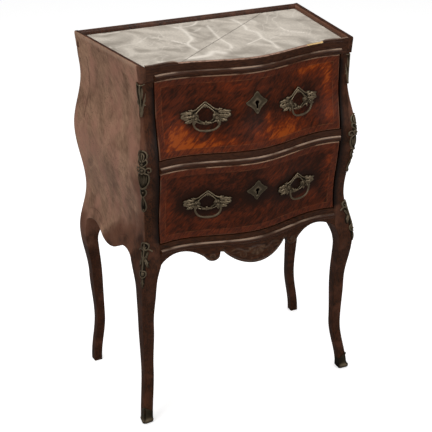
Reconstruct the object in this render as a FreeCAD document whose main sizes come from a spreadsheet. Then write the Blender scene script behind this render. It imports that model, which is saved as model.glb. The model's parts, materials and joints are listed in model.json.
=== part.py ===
import FreeCAD, Part
import math
import os
from types import SimpleNamespace

# Bedside commode with a bombé, serpentine case on four cabriole legs, two drawers,
# an inset marble top broken across, and bronze mounts.
# Millimetres, +Z up, front towards -Y, origin on the floor under the middle of the case.
# A depth is measured forwards from the back plane.

# Driving dimensions.
SIZES = {
    # case
    "total_height": 740.0,
    "rim_height": 30.0,
    "front_half_width": 208.5,
    "back_half_width": 236.5,
    "front_depth": 270.0,
    "corner_setback": 7.5,
    # serpentine front: swelling in the middle, hollows beside it
    "serpentine_crown": 25.0,
    "serpentine_hollow": 4.5,
    "hollow_inset": 37.0,
    # openings for the drawers
    "drawer_gap": 1.2,
    "running_gap": 0.3,
    "upper_opening": 145.1,
    "lower_opening": 148.0,
    "middle_rail_thickness": 23.4,
    "rail_width": 55.0,
    # posts and legs
    "front_post_inset": 21.5,
    "front_post_width": 34.5,
    "back_post_inset": 44.5,
    "back_post_width": 30.0,
    "shoulder_drop": 37.5,
    "knee_width": 29.0,
    "calf_width": 23.0,
    "ankle_width": 19.0,
    "toe_width": 18.5,
    # panels and boards
    "side_thickness": 16.0,
    "side_arch_drop": 28.5,
    "side_lobe_drop": 49.5,
    "side_front_arch_offset": 80.0,
    "side_back_arch_offset": 62.0,
    "back_thickness": 8.0,
    "back_recess": 2.0,
    "board_thickness": 12.0,
    "top_board_thickness": 8.0,
    "apron_thickness": 24.0,
    # lower edge of the apron, below the floor of the lower drawer
    "apron_arch_drop": 24.0,
    "apron_arch_half_width": 150.0,
    "hook_drop": 49.5,
    "hook_half_width": 86.0,
    "hook_reach": 13.0,
    "hook_rise": 8.0,
    "notch_drop": 32.0,
    "notch_half_width": 65.0,
    "notch_width": 6.0,
    "lobe_drop": 61.5,
    # top
    "rim_width": 12.0,
    "rim_overhang": 2.5,
    "rim_corner_overhang": 7.0,
    "marble_thickness": 12.0,
    "marble_drop": 8.0,
    "marble_clearance": 0.3,
    "lip_thickness": 6.0,
    "lip_base_height": 25.5,
    "left_lip_half_width": 141.0,
    "right_lip_half_width": 150.0,
    "break_offset": 10.0,
    "break_angle": 40.7,
    # mouldings
    "moulding_radius": 5.0,
    "top_moulding_rise": 7.0,
    "middle_moulding_rise": 6.5,
    "lower_moulding_drop": 14.5,
    # drawers
    "drawer_back_depth": 24.0,
    "drawer_box_inset": 1.0,
    "drawer_front_thickness": 26.0,
    "drawer_side_thickness": 9.0,
    "drawer_side_drop": 38.0,
    "drawer_bottom_thickness": 6.0,
    "drawer_bottom_rise": 7.0,
    "groove_depth": 4.0,
    "guide_width": 7.0,
    "guide_height": 20.0,
    # handles
    "handle_offset": 93.0,
    "plate_half_width": 47.5,
    "plate_peak": 25.0,
    "plate_thickness": 2.5,
    "plate_hole_radius": 14.0,
    "post_offset": 18.0,
    "post_drop": 3.0,
    "post_radius": 3.4,
    "post_length": 16.0,
    "pivot_stand_off": 12.0,
    "pivot_clearance": 0.35,
    "shank_half": 2.2,
    "shank_clearance": 0.3,
    "shank_end": 1.0,
    "nut_radius": 5.0,
    "nut_thickness": 3.0,
    "bail_thickness": 3.8,
    "pin_radius": 1.5,
    "bail_half_width": 24.0,
    "bail_drop": 23.0,
    "bail_corner_radius": 16.0,
    # locks
    "keyhole_rise": 15.0,
    "keyhole_radius": 3.6,
    "keyhole_drop": 11.0,
    "keyhole_slot": 3.6,
    "keyhole_pocket": 4.0,
    "escutcheon_half_width": 22.0,
    "escutcheon_half_height": 21.5,
    "escutcheon_thickness": 2.0,
    "lock_width": 48.0,
    "lock_thickness": 12.0,
    "lock_below_keyhole": 14.0,
    "bolt_width": 14.0,
    "bolt_thickness": 5.0,
    "bolt_length": 20.0,
    "bolt_travel": 8.0,
    "bolt_clearance": 0.4,
    # corner mounts and toe caps
    "mount_thickness": 3.0,
    "upper_mount_half_width": 9.0,
    "upper_mount_length": 60.0,
    "upper_mount_drop": 3.0,
    "middle_mount_half_width": 11.0,
    "middle_mount_length": 125.0,
    "middle_mount_rise": 41.0,
    "knee_mount_half_width": 11.0,
    "knee_mount_length": 87.0,
    "knee_mount_rise": 78.0,
    "sabot_height": 38.0,
    "sabot_wall": 2.0,
    "toe_trim": 1.0,
}

# Stations of the case between the toes and the crown: rise above the floor of the lower drawer,
# corner outwards, corner forwards, back edge outwards and drawer line forwards.
STATIONS = {
    "ankle": (-278.5, 15.0, -3.5, 7.0, -11.0),
    "calf": (-178.5, 16.0, 0.5, 12.0, -7.0),
    "knee": (-68.5, 20.0, 18.5, 24.5, 11.0),
    "waist": (31.5, 4.5, 1.0, 4.5, -1.0),
    "bulge": (156.5, 12.0, 21.5, 20.5, 14.0),
    "neck": (266.5, 0.0, 0.0, 0.0, 0.0),
}
STATION_COLUMNS = ("rise", "corner_out", "corner_forward", "back_out", "front_forward")
for station_name, station_row in STATIONS.items():
    for column, number in zip(STATION_COLUMNS, station_row):
        SIZES[f"{station_name}_{column}"] = number
SIZES.update({
    "toe_corner_out": 26.5,
    "toe_corner_forward": 12.5,
    "toe_back_out": 19.5,
    "toe_front_forward": 5.0,
    "crown_corner_out": 1.0,
    "crown_back_out": 3.5,
})

# Far enough outside the case for every cutting block.
FAR = 600.0
# Height between the plans through which the case is lofted.
SECTION_SPACING = 28.0
# Sides of a plate's window and of a pin's eye, steps in a rounded corner of a bail,
# sides of a post or nut, and steps round the head of a keyhole.
EYE_SIDES = 12
BEND_STEPS = 4
HEX_SIDES = 6
KEYHOLE_STEPS = 6
# How far the sides of an escutcheon stand out, as a share of its corners.
ESCUTCHEON_WAIST = 0.44
# How far a cutting block reaches past the face that it cuts.
CUT_MARGIN = 1.0


class Size:
    """A length: its value in millimetres and the sheet formula that gives it."""

    def __init__(self, value, formula):
        self.value = float(value)
        self.formula = formula

    def __float__(self):
        return self.value

    def _join(self, other, sign, value):
        return Size(value, f"({self.formula}) {sign} ({formula_of(other)})")

    def __add__(self, other):
        return self._join(other, "+", self.value + float(other))

    def __sub__(self, other):
        return self._join(other, "-", self.value - float(other))

    def __mul__(self, other):
        return self._join(other, "*", self.value * float(other))

    def __truediv__(self, other):
        return self._join(other, "/", self.value / float(other))

    def __neg__(self):
        return Size(-self.value, f"-({self.formula})")

    def __radd__(self, other):
        return Size(other, repr(float(other))) + self

    def __rsub__(self, other):
        return Size(other, repr(float(other))) - self


def formula_of(length):
    """The sheet formula of a size, or the plain number itself."""
    if isinstance(length, Size):
        return length.formula
    return repr(float(length))


doc = FreeCAD.newDocument("Commode")
sheet = doc.addObject("Spreadsheet::Sheet", "Sizes")
for row, (alias, number) in enumerate(SIZES.items(), start=1):
    sheet.set(f"A{row}", alias)
    sheet.set(f"B{row}", str(number))
    sheet.setAlias(f"B{row}", alias)
doc.recompute()
size = SimpleNamespace(**{alias: Size(sheet.get(alias), f"Sizes.{alias}") for alias in SIZES})

nodes = []


def vector(x, y, z):
    return FreeCAD.Vector(float(x), float(y), float(z))


def bind(target, **lengths):
    """Bind properties of an object to the sheet; two underscores stand for a dot."""
    for name, length in lengths.items():
        target.setExpression(name.replace("__", "."), formula_of(length))


def node(piece, label):
    """Name a finished sub-part and put it on the list of files to write."""
    piece.Label = label
    nodes.append(piece)
    return piece


def feature(name, shape):
    piece = doc.addObject("Part::Feature", name)
    piece.Shape = shape
    return piece


def moved(name, source, x=0.0, y=0.0, z=0.0):
    """A copy of a form, shifted."""
    copy = feature(name, source.Shape)
    copy.Placement = FreeCAD.Placement(vector(x, y, z), FreeCAD.Rotation())
    return copy


def box(name, x_range, y_range, z_range):
    """A block between two limits on each axis."""
    block = doc.addObject("Part::Box", name)
    lows = (x_range[0], y_range[0], z_range[0])
    bind(block, Length=x_range[1] - x_range[0], Width=y_range[1] - y_range[0],
         Height=z_range[1] - z_range[0])
    bind(block, Placement__Base__x=lows[0], Placement__Base__y=lows[1], Placement__Base__z=lows[2])
    return block


def combine(kind, name, base, tool):
    result = doc.addObject(f"Part::{kind}", name)
    result.Base = base
    result.Tool = tool
    return result


def common(name, base, *tools):
    for count, tool in enumerate(tools, start=1):
        base = combine("Common", f"{name}_common_{count}", base, tool)
    return base


def cut(name, base, *tools):
    for count, tool in enumerate(tools, start=1):
        base = combine("Cut", f"{name}_cut_{count}", base, tool)
    return base


def fuse(name, *pieces):
    group = doc.addObject("Part::MultiFuse", f"{name}_fuse")
    group.Shapes = list(pieces)
    group.Refine = False
    return group


def mirrored(name, source):
    """The same piece on the other side of the middle plane."""
    copy = doc.addObject("Part::Mirroring", name)
    copy.Source = source
    copy.Base = FreeCAD.Vector(0, 0, 0)
    copy.Normal = FreeCAD.Vector(1, 0, 0)
    return copy


def loft(name, wires):
    """A solid with straight flanks between each closed outline and the next."""
    skin = doc.addObject("Part::Loft", name)
    skin.Sections = [feature(f"{name}_section_{count}", wire) for count, wire in enumerate(wires)]
    skin.Solid = True
    skin.Ruled = True
    return skin


def extrusion(name, outline, direction):
    """A prism of a closed outline of lines and arcs, along a direction from its plane."""
    prism = doc.addObject("Part::Extrusion", name)
    prism.Base = feature(f"{name}_outline", outline)
    prism.DirMode = "Custom"
    prism.Dir = direction
    prism.LengthFwd = direction.Length
    prism.Solid = True
    return prism


def line(start, end):
    return Part.LineSegment(start, end).toShape()


def arc(start, middle, end):
    return Part.Arc(start, middle, end).toShape()


def closed_polygon(points):
    return Part.makePolygon(points + points[:1])


# Places worked out from the driving dimensions
half_depth = (size.front_depth + size.bulge_front_forward + size.serpentine_crown
              + size.moulding_radius) / 2.0
case_top = size.total_height - size.rim_height
middle_rail_top = case_top - size.upper_opening
middle_rail_bottom = middle_rail_top - size.middle_rail_thickness
drawer_floor = middle_rail_bottom - size.lower_opening
shoulder_height = drawer_floor - size.shoulder_drop
opening_half_width = size.front_half_width - size.front_post_inset
hollow_half_width = opening_half_width - size.hollow_inset
back_post_half_width = size.back_half_width - size.back_post_inset
case_corner_depth = size.front_depth - size.corner_setback
post_back = case_corner_depth - size.front_post_width
rail_back = size.front_depth - size.rail_width
drawer_face = size.front_depth - size.drawer_front_thickness
marble_top = size.total_height - size.marble_drop
marble_bottom = marble_top - size.marble_thickness
drawer_half_width = opening_half_width - size.drawer_gap
box_half_width = drawer_half_width - size.drawer_box_inset
inner_back_depth = size.back_thickness + size.back_recess
back_y = half_depth


def y_at(depth):
    return half_depth - depth


def station(name, leg_width):
    """Plan at a station: corner half width, corner depth, back half width, drawer-line depth, leg width."""
    return (size.front_half_width + getattr(size, f"{name}_corner_out"),
            case_corner_depth + getattr(size, f"{name}_corner_forward"),
            size.back_half_width + getattr(size, f"{name}_back_out"),
            size.front_depth + getattr(size, f"{name}_front_forward"),
            leg_width)


def front_curve(height, front_depth):
    """Serpentine between the front posts, from left to right."""
    stops = [(opening_half_width, front_depth),
             (hollow_half_width, front_depth - size.serpentine_hollow)]
    left = [vector(-x, y_at(depth), height) for x, depth in stops]
    right = [vector(x, y_at(depth), height) for x, depth in reversed(stops)]
    middle = vector(0.0, y_at(front_depth + size.serpentine_crown), height)
    hollow_share = float(hollow_half_width) / float(opening_half_width)
    curve = Part.BSplineCurve()
    curve.interpolate(Points=left + [middle] + right,
                      Parameters=[-1.0, -hollow_share, 0.0, hollow_share, 1.0])
    return curve.toShape()


def plan_wire(height, plan):
    """Plan of the case at one height: serpentine front, flat post faces, straight sides and back."""
    corner_half, corner_depth, back_half, front_depth = plan[:4]
    front = front_curve(height, front_depth)
    ring = [front.Vertexes[-1].Point, vector(corner_half, y_at(corner_depth), height),
            vector(back_half, back_y, height), vector(-back_half, back_y, height),
            vector(-corner_half, y_at(corner_depth), height), front.Vertexes[0].Point]
    return Part.Wire([front] + [line(start, end) for start, end in zip(ring, ring[1:])])


def plan_at(height):
    """Plan sizes at a height, easing out of the station below and into the one above."""
    for (low, low_plan), (high, high_plan) in zip(profile, profile[1:]):
        if height <= float(high):
            break
    share = (height - float(low)) / float(high - low)
    ease = (1.0 - math.cos(math.pi * share)) / 2.0
    return [float(a) + float(b - a) * ease for a, b in zip(low_plan, high_plan)]


def section_heights():
    """Even steps between each station and the next."""
    heights = [0.0]
    for (low, _), (high, _) in zip(profile, profile[1:]):
        steps = round(float(high - low) / SECTION_SPACING)
        heights += [float(low) + float(high - low) * (step + 1) / steps for step in range(steps)]
    return heights


# Outer form of the case and legs, from which every veneered piece is cut
profile = [(0.0, station("toe", size.toe_width))]
for station_name in STATIONS:
    leg_width = getattr(size, f"{station_name}_width", size.knee_width)
    profile.append((drawer_floor + getattr(size, f"{station_name}_rise"), station(station_name, leg_width)))
neck = profile[-1][1]
crown = (neck[0] + size.crown_corner_out, neck[1], neck[2] + size.crown_back_out, neck[3], size.knee_width)
profile.append((case_top, crown))
case_form = loft("case_form", [plan_wire(height, plan_at(height)) for height in section_heights()])

# Outer form of the top frame, standing a little proud of the case
rim_plan = (crown[0] + size.rim_overhang, crown[1] + size.rim_corner_overhang,
            crown[2] + size.rim_overhang, crown[3] + size.rim_overhang)
rim_form = loft("rim_form", [plan_wire(height, rim_plan) for height in (case_top, size.total_height)])
doc.recompute()


def front_y(form, x, height):
    """Where the front of a form stands at a given width and height."""
    probe = line(vector(x, -FAR, height), vector(x, back_y, height))
    return probe.common(form.Shape).BoundBox.YMin


def side_line(depth, plan, inset):
    """Half width of a straight side of a plan at a depth, less an inset."""
    corner_half, corner_depth, back_half = plan[:3]
    return back_half + (corner_half - back_half) * depth / corner_depth - inset


def between_sides(name, plan, inset, depths, z_range):
    """A board cut to the taper between two sides."""
    corners = []
    for sign, order in ((1.0, depths), (-1.0, tuple(reversed(depths)))):
        for depth in order:
            half = sign * float(side_line(depth, plan, inset))
            corners.append(vector(half, y_at(depth), z_range[0]))
    return extrusion(name, closed_polygon(corners), vector(0, 0, z_range[1] - z_range[0]))


# Posts that run down into the legs
leg_heights = [height for height in section_heights() if height < float(shoulder_height)]
leg_plans = [(height, plan_at(height)) for height in leg_heights]
front_inner = [(height, plan[0] - plan[4], y_at(plan[1] - plan[4])) for height, plan in leg_plans]
front_inner.append((shoulder_height, opening_half_width, y_at(post_back)))
back_inner = [(height, plan[2] - plan[4], back_y - plan[4]) for height, plan in leg_plans]
back_inner.append((shoulder_height, back_post_half_width, back_y - size.back_post_width))


def leg_taper(name, inner_corners, outward):
    """The inner faces of a leg, from the floor to the shoulder, open to the outside."""
    far_y = outward * FAR
    wires = []
    for height, x, y in inner_corners:
        wires.append(closed_polygon([vector(x, y, height), vector(FAR, y, height),
                                     vector(FAR, far_y, height), vector(x, far_y, height)]))
    return loft(name, wires)


front_leg_block = fuse(
    "front_leg_block",
    leg_taper("front_leg_taper", front_inner, -1.0),
    box("front_post_block", (opening_half_width, FAR),
        (-FAR, y_at(post_back)), (shoulder_height, case_top)))
back_leg_block = fuse(
    "back_leg_block",
    leg_taper("back_leg_taper", back_inner, 1.0),
    box("back_post_block", (back_post_half_width, FAR),
        (back_y - size.back_post_width, FAR), (shoulder_height, case_top)))


# Front toes, trimmed to fit inside their caps
def toe_block(name, low, spread):
    """Tapered block round a front toe, from a height up to the top of the cap."""
    block = doc.addObject("Part::Wedge", name)
    limits = []
    for height in (low, size.sabot_height):
        corner_half, corner_depth, _, _, width = plan_at(float(height))
        limits.append((corner_half - width - float(spread), corner_half + float(spread),
                       float(y_at(corner_depth + spread)), float(y_at(corner_depth - width - spread))))
    # a wedge tapers along its own Y axis, which is turned upright here
    (left, right, front, rear), (top_left, top_right, top_front, top_rear) = limits
    block.Xmin, block.Xmax, block.X2min, block.X2max = left, right, top_left, top_right
    block.Zmin, block.Zmax, block.Z2min, block.Z2max = -rear, -front, -top_rear, -top_front
    bind(block, Ymin=low, Ymax=size.sabot_height)
    block.Placement = FreeCAD.Placement(FreeCAD.Vector(), FreeCAD.Rotation(FreeCAD.Vector(1, 0, 0), 90.0))
    return block


above_cap = box("above_cap", (-FAR, FAR), (-FAR, FAR), (size.sabot_height, size.total_height))
front_shank = common("front_shank", case_form, front_leg_block, above_cap)
toe_core = toe_block("toe_core", size.sabot_wall, -size.toe_trim)
front_right_leg = node(fuse("front_right_leg", front_shank, toe_core), "front_right_leg")
front_left_leg = node(mirrored("front_left_leg", front_right_leg), "front_left_leg")
cap_blank = toe_block("cap_blank", 0.0, size.sabot_wall)
right_sabot = node(cut("right_sabot", cap_blank, toe_core), "right_sabot")
node(mirrored("left_sabot", right_sabot), "left_sabot")
back_right_leg = node(common("back_leg", case_form, back_leg_block), "back_right_leg")
back_left_leg = node(mirrored("back_left_leg", back_right_leg), "back_left_leg")

# Side panels with a lobe between two arches along the lower edge
side_middle = (post_back + size.back_post_width) / 2.0
side_arch_height = drawer_floor - size.side_arch_drop
side_lobe_height = drawer_floor - size.side_lobe_drop
turn_height = (side_arch_height + side_lobe_height) / 2.0


def side_point(depth, height):
    return vector(0.0, y_at(depth), height)


side_front = side_point(post_back, shoulder_height)
side_back = side_point(size.back_post_width, shoulder_height)
front_turn = side_point(side_middle + size.side_front_arch_offset / 2.0, turn_height)
back_turn = side_point(side_middle - size.side_back_arch_offset / 2.0, turn_height)
top_front = side_point(post_back, case_top)
top_back = side_point(size.back_post_width, case_top)
side_outline = Part.Wire([
    arc(side_front, side_point(side_middle + size.side_front_arch_offset, side_arch_height), front_turn),
    arc(front_turn, side_point(side_middle, side_lobe_height), back_turn),
    arc(back_turn, side_point(side_middle - size.side_back_arch_offset, side_arch_height), side_back),
    line(side_back, top_back), line(top_back, top_front), line(top_front, side_front)])
side_prism = extrusion("side_prism", side_outline, vector(FAR, 0, 0))
side_depths = (0.0, case_corner_depth)
inside_block = between_sides("inside_block", neck, size.side_thickness, side_depths,
                             (0.0, size.total_height))
right_side_panel = node(cut("right_side", common("right_side", case_form, side_prism), inside_block),
                        "right_side_panel")
left_side_panel = node(mirrored("left_side", right_side_panel), "left_side_panel")

# Back panel between the back posts
back_panel = node(box("back_panel", (-back_post_half_width, back_post_half_width),
                      (back_y - inner_back_depth, back_y - size.back_recess),
                      (drawer_floor - size.board_thickness, case_top)), "back_panel")

# Apron with hooked lobes and a deep lobe in the middle
hook_height = drawer_floor - size.hook_drop
hook_top = hook_height + size.hook_rise


def apron_half(side):
    """Places along one half of the lower outline, from the leg to the notch."""
    notch_height = drawer_floor - size.notch_drop
    stops = [(opening_half_width, shoulder_height),
             (size.apron_arch_half_width, drawer_floor - size.apron_arch_drop),
             (size.hook_half_width + size.hook_reach, hook_top),
             (size.hook_half_width, hook_height),
             (size.hook_half_width - size.hook_reach, hook_top),
             (size.notch_half_width + size.notch_width, notch_height),
             (size.notch_half_width, notch_height)]
    return [vector(side * float(x), 0.0, z) for x, z in stops]


apron_edges = []
for side in (-1.0, 1.0):
    leg, arch, hook_start, hook_low, hook_tip, notch_start, notch = apron_half(side)
    shoulder = vector(leg.x, 0.0, drawer_floor)
    apron_edges += [line(shoulder, leg), arc(leg, arch, hook_start), arc(hook_start, hook_low, hook_tip),
                    line(hook_tip, notch_start), line(notch_start, notch)]
left_notch = apron_half(-1.0)[-1]
right_notch = apron_half(1.0)[-1]
apron_edges.append(arc(left_notch, vector(0.0, 0.0, drawer_floor - size.lobe_drop), right_notch))
apron_edges.append(line(vector(-opening_half_width, 0.0, drawer_floor),
                        vector(opening_half_width, 0.0, drawer_floor)))
apron_outline = Part.Wire(Part.__sortEdges__(apron_edges))
apron_prism = extrusion("apron_prism", apron_outline, vector(0, -FAR, 0))
apron_inside = moved("apron_inside", case_form, y=size.apron_thickness)
apron = node(cut("apron", common("apron", case_form, apron_prism), apron_inside), "apron")

# Rails above and below the upper drawer
whole_opening = (-opening_half_width, opening_half_width)
front_zone = (-FAR, y_at(rail_back))
middle_rail_block = box("middle_rail_block", whole_opening, front_zone,
                        (middle_rail_bottom, middle_rail_top))
middle_rail_blank = common("middle_rail", case_form, middle_rail_block)

rim_inner_block = between_sides("rim_inner_block", rim_plan, size.rim_width,
                                (-size.rim_width, rim_plan[1] + FAR / 2.0),
                                (case_top - CUT_MARGIN, size.total_height + CUT_MARGIN))
behind_lip = moved("behind_lip", rim_form, y=size.lip_thickness)
top_rail_block = box("top_rail_block", (-FAR, FAR), front_zone,
                     (case_top, case_top + size.lip_base_height))
above_floor = box("above_floor", (-FAR, FAR), (-FAR, FAR), (marble_bottom, size.total_height))
marble_pocket = common("marble_pocket", behind_lip, above_floor)
top_rail_blank = cut("top_rail_blank", common("top_rail_blank", rim_form, top_rail_block, rim_inner_block),
                     marble_pocket)

# Rim on the back and both sides, and what is left of the front lip
side_rims = cut("side_rims", rim_form, rim_inner_block)
right_half = box("right_half", (0.0, FAR),
                 (-FAR, FAR), (case_top, size.total_height))
right_rim = node(common("right_rim", side_rims, right_half), "right_rim")
left_rim = node(mirrored("left_rim", right_rim), "left_rim")
back_rim_block = box("back_rim_block", (-FAR, FAR),
                     (back_y - size.rim_width, back_y), (case_top, size.total_height))
back_rim = node(common("back_rim", rim_form, rim_inner_block, back_rim_block), "back_rim")
lip_band = cut("lip_band", common("lip_band", rim_form, rim_inner_block), behind_lip)


def front_lip(name, x_range):
    block = box(f"{name}_block", x_range, front_zone,
                (case_top + size.lip_base_height, size.total_height))
    return node(common(name, lip_band, block), name)


front_lip("front_lip_left", (-FAR, -size.left_lip_half_width))
front_lip("front_lip_right", (size.right_lip_half_width, FAR))

# Marble slab, broken across into two pieces
slab_sides = between_sides("slab_sides", rim_plan, size.rim_width + size.marble_clearance,
                           (size.rim_width + size.marble_clearance, rim_plan[1] + FAR / 2.0),
                           (marble_bottom, marble_top))
slab_front = moved("slab_front", rim_form, y=size.lip_thickness + size.marble_clearance)
slab = common("slab", slab_front, slab_sides)


def broken_piece(name, side):
    """The part of the slab on one side of the break."""
    block = doc.addObject("Part::Box", f"{name}_block")
    block.Length = 2.0 * FAR
    block.Width = FAR
    bind(block, Height=size.total_height)
    turn = FreeCAD.Rotation(FreeCAD.Vector(0, 0, 1), size.break_angle.value)
    middle = vector(size.break_offset, y_at(size.front_depth / 2.0), 0.0)
    gap = float(size.marble_clearance) / 2.0
    low_y = gap if side > 0 else -FAR - gap
    block.Placement = FreeCAD.Placement(middle + turn.multVec(vector(-FAR, low_y, 0.0)), turn)
    return node(common(name, slab, block), name)


broken_piece("marble_left", 1.0)
broken_piece("marble_right", -1.0)

# Boards: under the marble, between the drawers and below them
node(between_sides("top_board", rim_plan, size.rim_width, (size.rim_width, rail_back),
                   (marble_bottom - size.top_board_thickness, marble_bottom)), "top_board")
dust_blank = between_sides("dust_blank", neck, size.side_thickness,
                           (inner_back_depth, rail_back),
                           (middle_rail_top - size.board_thickness, middle_rail_top))
node(cut("dust_board", dust_blank, back_left_leg, back_right_leg), "dust_board")
bottom_block = between_sides("bottom_block", neck, size.side_thickness,
                             (inner_back_depth, case_corner_depth + FAR / 2.0),
                             (drawer_floor - size.board_thickness,
                              drawer_floor))
bottom_blank = common("bottom_blank", apron_inside, bottom_block)
node(cut("bottom_board", bottom_blank, front_left_leg, front_right_leg, back_left_leg, back_right_leg),
     "bottom_board")


# Half-round mouldings that follow the serpentine; rise and reach of the bead as shares of its radius
BEAD = ((-1.0, 0.35), (-0.5, 0.9), (0.5, 0.9), (1.0, 0.35))


def moulding(name, form, plan_of, height):
    """A bead across the front, between the posts, at a height of its middle."""
    wires = []
    for rise, reach in BEAD:
        level = float(height) + rise * float(size.moulding_radius)
        front = front_curve(level, plan_of(level)[3] + reach * float(size.moulding_radius))
        ends = [front.Vertexes[-1].Point, front.Vertexes[0].Point]
        rear = [vector(end.x, y_at(rail_back), level) for end in ends]
        wires.append(Part.Wire([front, line(ends[0], rear[0]), line(rear[0], rear[1]),
                                line(rear[1], ends[1])]))
    span = box(f"{name}_span", (-drawer_half_width, drawer_half_width), (-FAR, FAR), (0.0, size.total_height))
    return node(cut(name, common(name, loft(f"{name}_bead", wires), span), form), name)


moulding("top_moulding", rim_form, lambda level: rim_plan, case_top + size.top_moulding_rise)
moulding("middle_moulding", case_form, plan_at, middle_rail_bottom + size.middle_moulding_rise)
moulding("lower_moulding", case_form, plan_at, drawer_floor - size.lower_moulding_drop)


# Drawers
def plate_outline(centre_x, centre_z):
    """Winged back plate with a gabled top."""
    half = float(size.plate_half_width)
    peak = float(size.plate_peak)
    right_points = [(0.3, 0.52), (0.6, 0.26), (0.85, 0.16), (1.0, -0.08), (0.82, -0.36), (0.6, -0.5),
                    (0.45, -0.34), (0.3, -0.6)]
    ring = [(0.0, 1.0)] + right_points + [(0.0, -0.72)] + [(-x, z) for x, z in reversed(right_points)]
    return closed_polygon([vector(centre_x + x * half, 0.0, centre_z + z * peak) for x, z in ring])


def keyhole_outline(centre_z, rear_y):
    """Round hole with a straight slot below it, at the rear end of the hole."""
    radius = float(size.keyhole_radius)
    half_slot = float(size.keyhole_slot) / 2.0
    foot = -float(size.keyhole_drop)
    start = -math.acos(half_slot / radius)
    sweep = math.pi - 2.0 * start
    ring = [(half_slot, foot)]
    for step in range(KEYHOLE_STEPS + 1):
        angle = start + sweep * step / KEYHOLE_STEPS
        ring.append((radius * math.cos(angle), radius * math.sin(angle)))
    ring.append((-half_slot, foot))
    return closed_polygon([vector(x, rear_y, centre_z + z) for x, z in ring])


def escutcheon_outline(centre_z):
    """Lozenge with hollow sides."""
    half = (float(size.escutcheon_half_width), float(size.escutcheon_half_height))
    ring = []
    for quarter in range(4):
        angle = math.radians(90.0 * quarter)
        ring.append((math.cos(angle), math.sin(angle)))
        reach = ESCUTCHEON_WAIST * math.sqrt(2.0)
        ring.append((reach * math.cos(angle + math.pi / 4.0), reach * math.sin(angle + math.pi / 4.0)))
    return closed_polygon([vector(x * half[0], 0.0, centre_z + z * half[1]) for x, z in ring])


def flat_layer(name, low, high, along, thickness):
    """A block whose flat face stands a thickness in front of two points of the case, one above the other."""
    rise = (high - low).normalize()
    outward = along.cross(rise).normalize()
    block = doc.addObject("Part::Box", name)
    block.Length = block.Width = block.Height = FAR
    corner = low + outward * float(thickness) - (along + rise) * (FAR / 2.0)
    block.Placement = FreeCAD.Placement(corner, FreeCAD.Rotation(along, -outward, rise, "XYZ"))
    return block


def on_front(x, z):
    """The point of the front of the case at a given width and height."""
    return vector(x, front_y(case_form, float(x), float(z)), z)


def bar(name, sides, start, heading, flat, length, radius):
    """A bar of many sides along a heading, with one of its flats facing a given way."""
    piece = doc.addObject("Part::Prism", name)
    piece.Polygon = sides
    bind(piece, Circumradius=radius, Height=length)
    piece.Placement = FreeCAD.Placement(start, FreeCAD.Rotation(flat.cross(heading), flat, heading, "ZYX"))
    return piece


def square_bar(name, seat, half, y_range):
    """A square bar from front to back through a seat."""
    return box(name, (seat.x - half, seat.x + half), y_range, (seat.z - half, seat.z + half))


def handle(drawer, centre_z, pivots):
    """Right-hand handle of a drawer: back plate with posts, bail, shank holes and nuts."""
    pivot_z = centre_z - float(size.post_drop)
    post_spots = [float(size.handle_offset) + sign * float(size.post_offset) for sign in (-1.0, 1.0)]
    seats = [on_front(x, pivot_z) for x in post_spots]
    along = (seats[1] - seats[0]).normalize()
    outward = along.cross(FreeCAD.Vector(0, 0, 1))
    back = FreeCAD.Vector(0, 1, 0)

    outline = plate_outline(float(size.handle_offset), centre_z)
    prism = extrusion(f"{drawer}_plate_prism", outline, vector(0, -FAR, 0))
    low_point = on_front(size.handle_offset, centre_z - float(size.plate_peak))
    high_point = on_front(size.handle_offset, centre_z + float(size.plate_peak))
    layer = flat_layer(f"{drawer}_plate_layer", low_point, high_point, along, size.plate_thickness)
    window = bar(f"{drawer}_plate_window", EYE_SIDES, vector(size.handle_offset, -FAR, centre_z), back,
                 FreeCAD.Vector(0, 0, 1), FAR, size.plate_hole_radius)
    plate = cut(f"{drawer}_plate", common(f"{drawer}_plate", prism, layer), case_form, window)
    posts, shanks, holes, nuts = [], [], [], []
    face_y = y_at(drawer_face)
    for count, seat in enumerate(seats):
        tag = f"{drawer}_{count}"
        post = bar(f"{tag}_post", HEX_SIDES, seat - outward * float(size.plate_thickness), outward, along,
                   size.post_length + size.plate_thickness, size.post_radius)
        eye_start = seat + outward * float(size.pivot_stand_off) - along * float(size.post_offset)
        eye = bar(f"{tag}_eye", EYE_SIDES, eye_start, along, outward, size.post_offset * 2.0,
                  size.pin_radius + size.pivot_clearance)
        posts.append(cut(f"{tag}_post", post, case_form, eye))
        shank_range = (seat.y - float(size.plate_thickness), face_y + size.nut_thickness + size.shank_end)
        shanks.append(square_bar(f"{tag}_shank", seat, size.shank_half, shank_range))
        holes.append(square_bar(f"{tag}_hole", seat, size.shank_half + size.shank_clearance, (-FAR, FAR)))
        nut = bar(f"{tag}_nut", HEX_SIDES, vector(seat.x, face_y, seat.z), back, FreeCAD.Vector(0, 0, 1),
                  size.nut_thickness, size.nut_radius)
        nuts.append(cut(f"{tag}_nut", nut, holes[-1]))
    plate_node = fuse(f"{drawer}_plate", plate, *posts, *shanks)

    centre = (seats[0] + seats[1]) * 0.5 + outward * float(size.pivot_stand_off)
    pivots[drawer] = (centre, along)
    return plate_node, bail(drawer, centre, along, outward), holes, nuts


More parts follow.
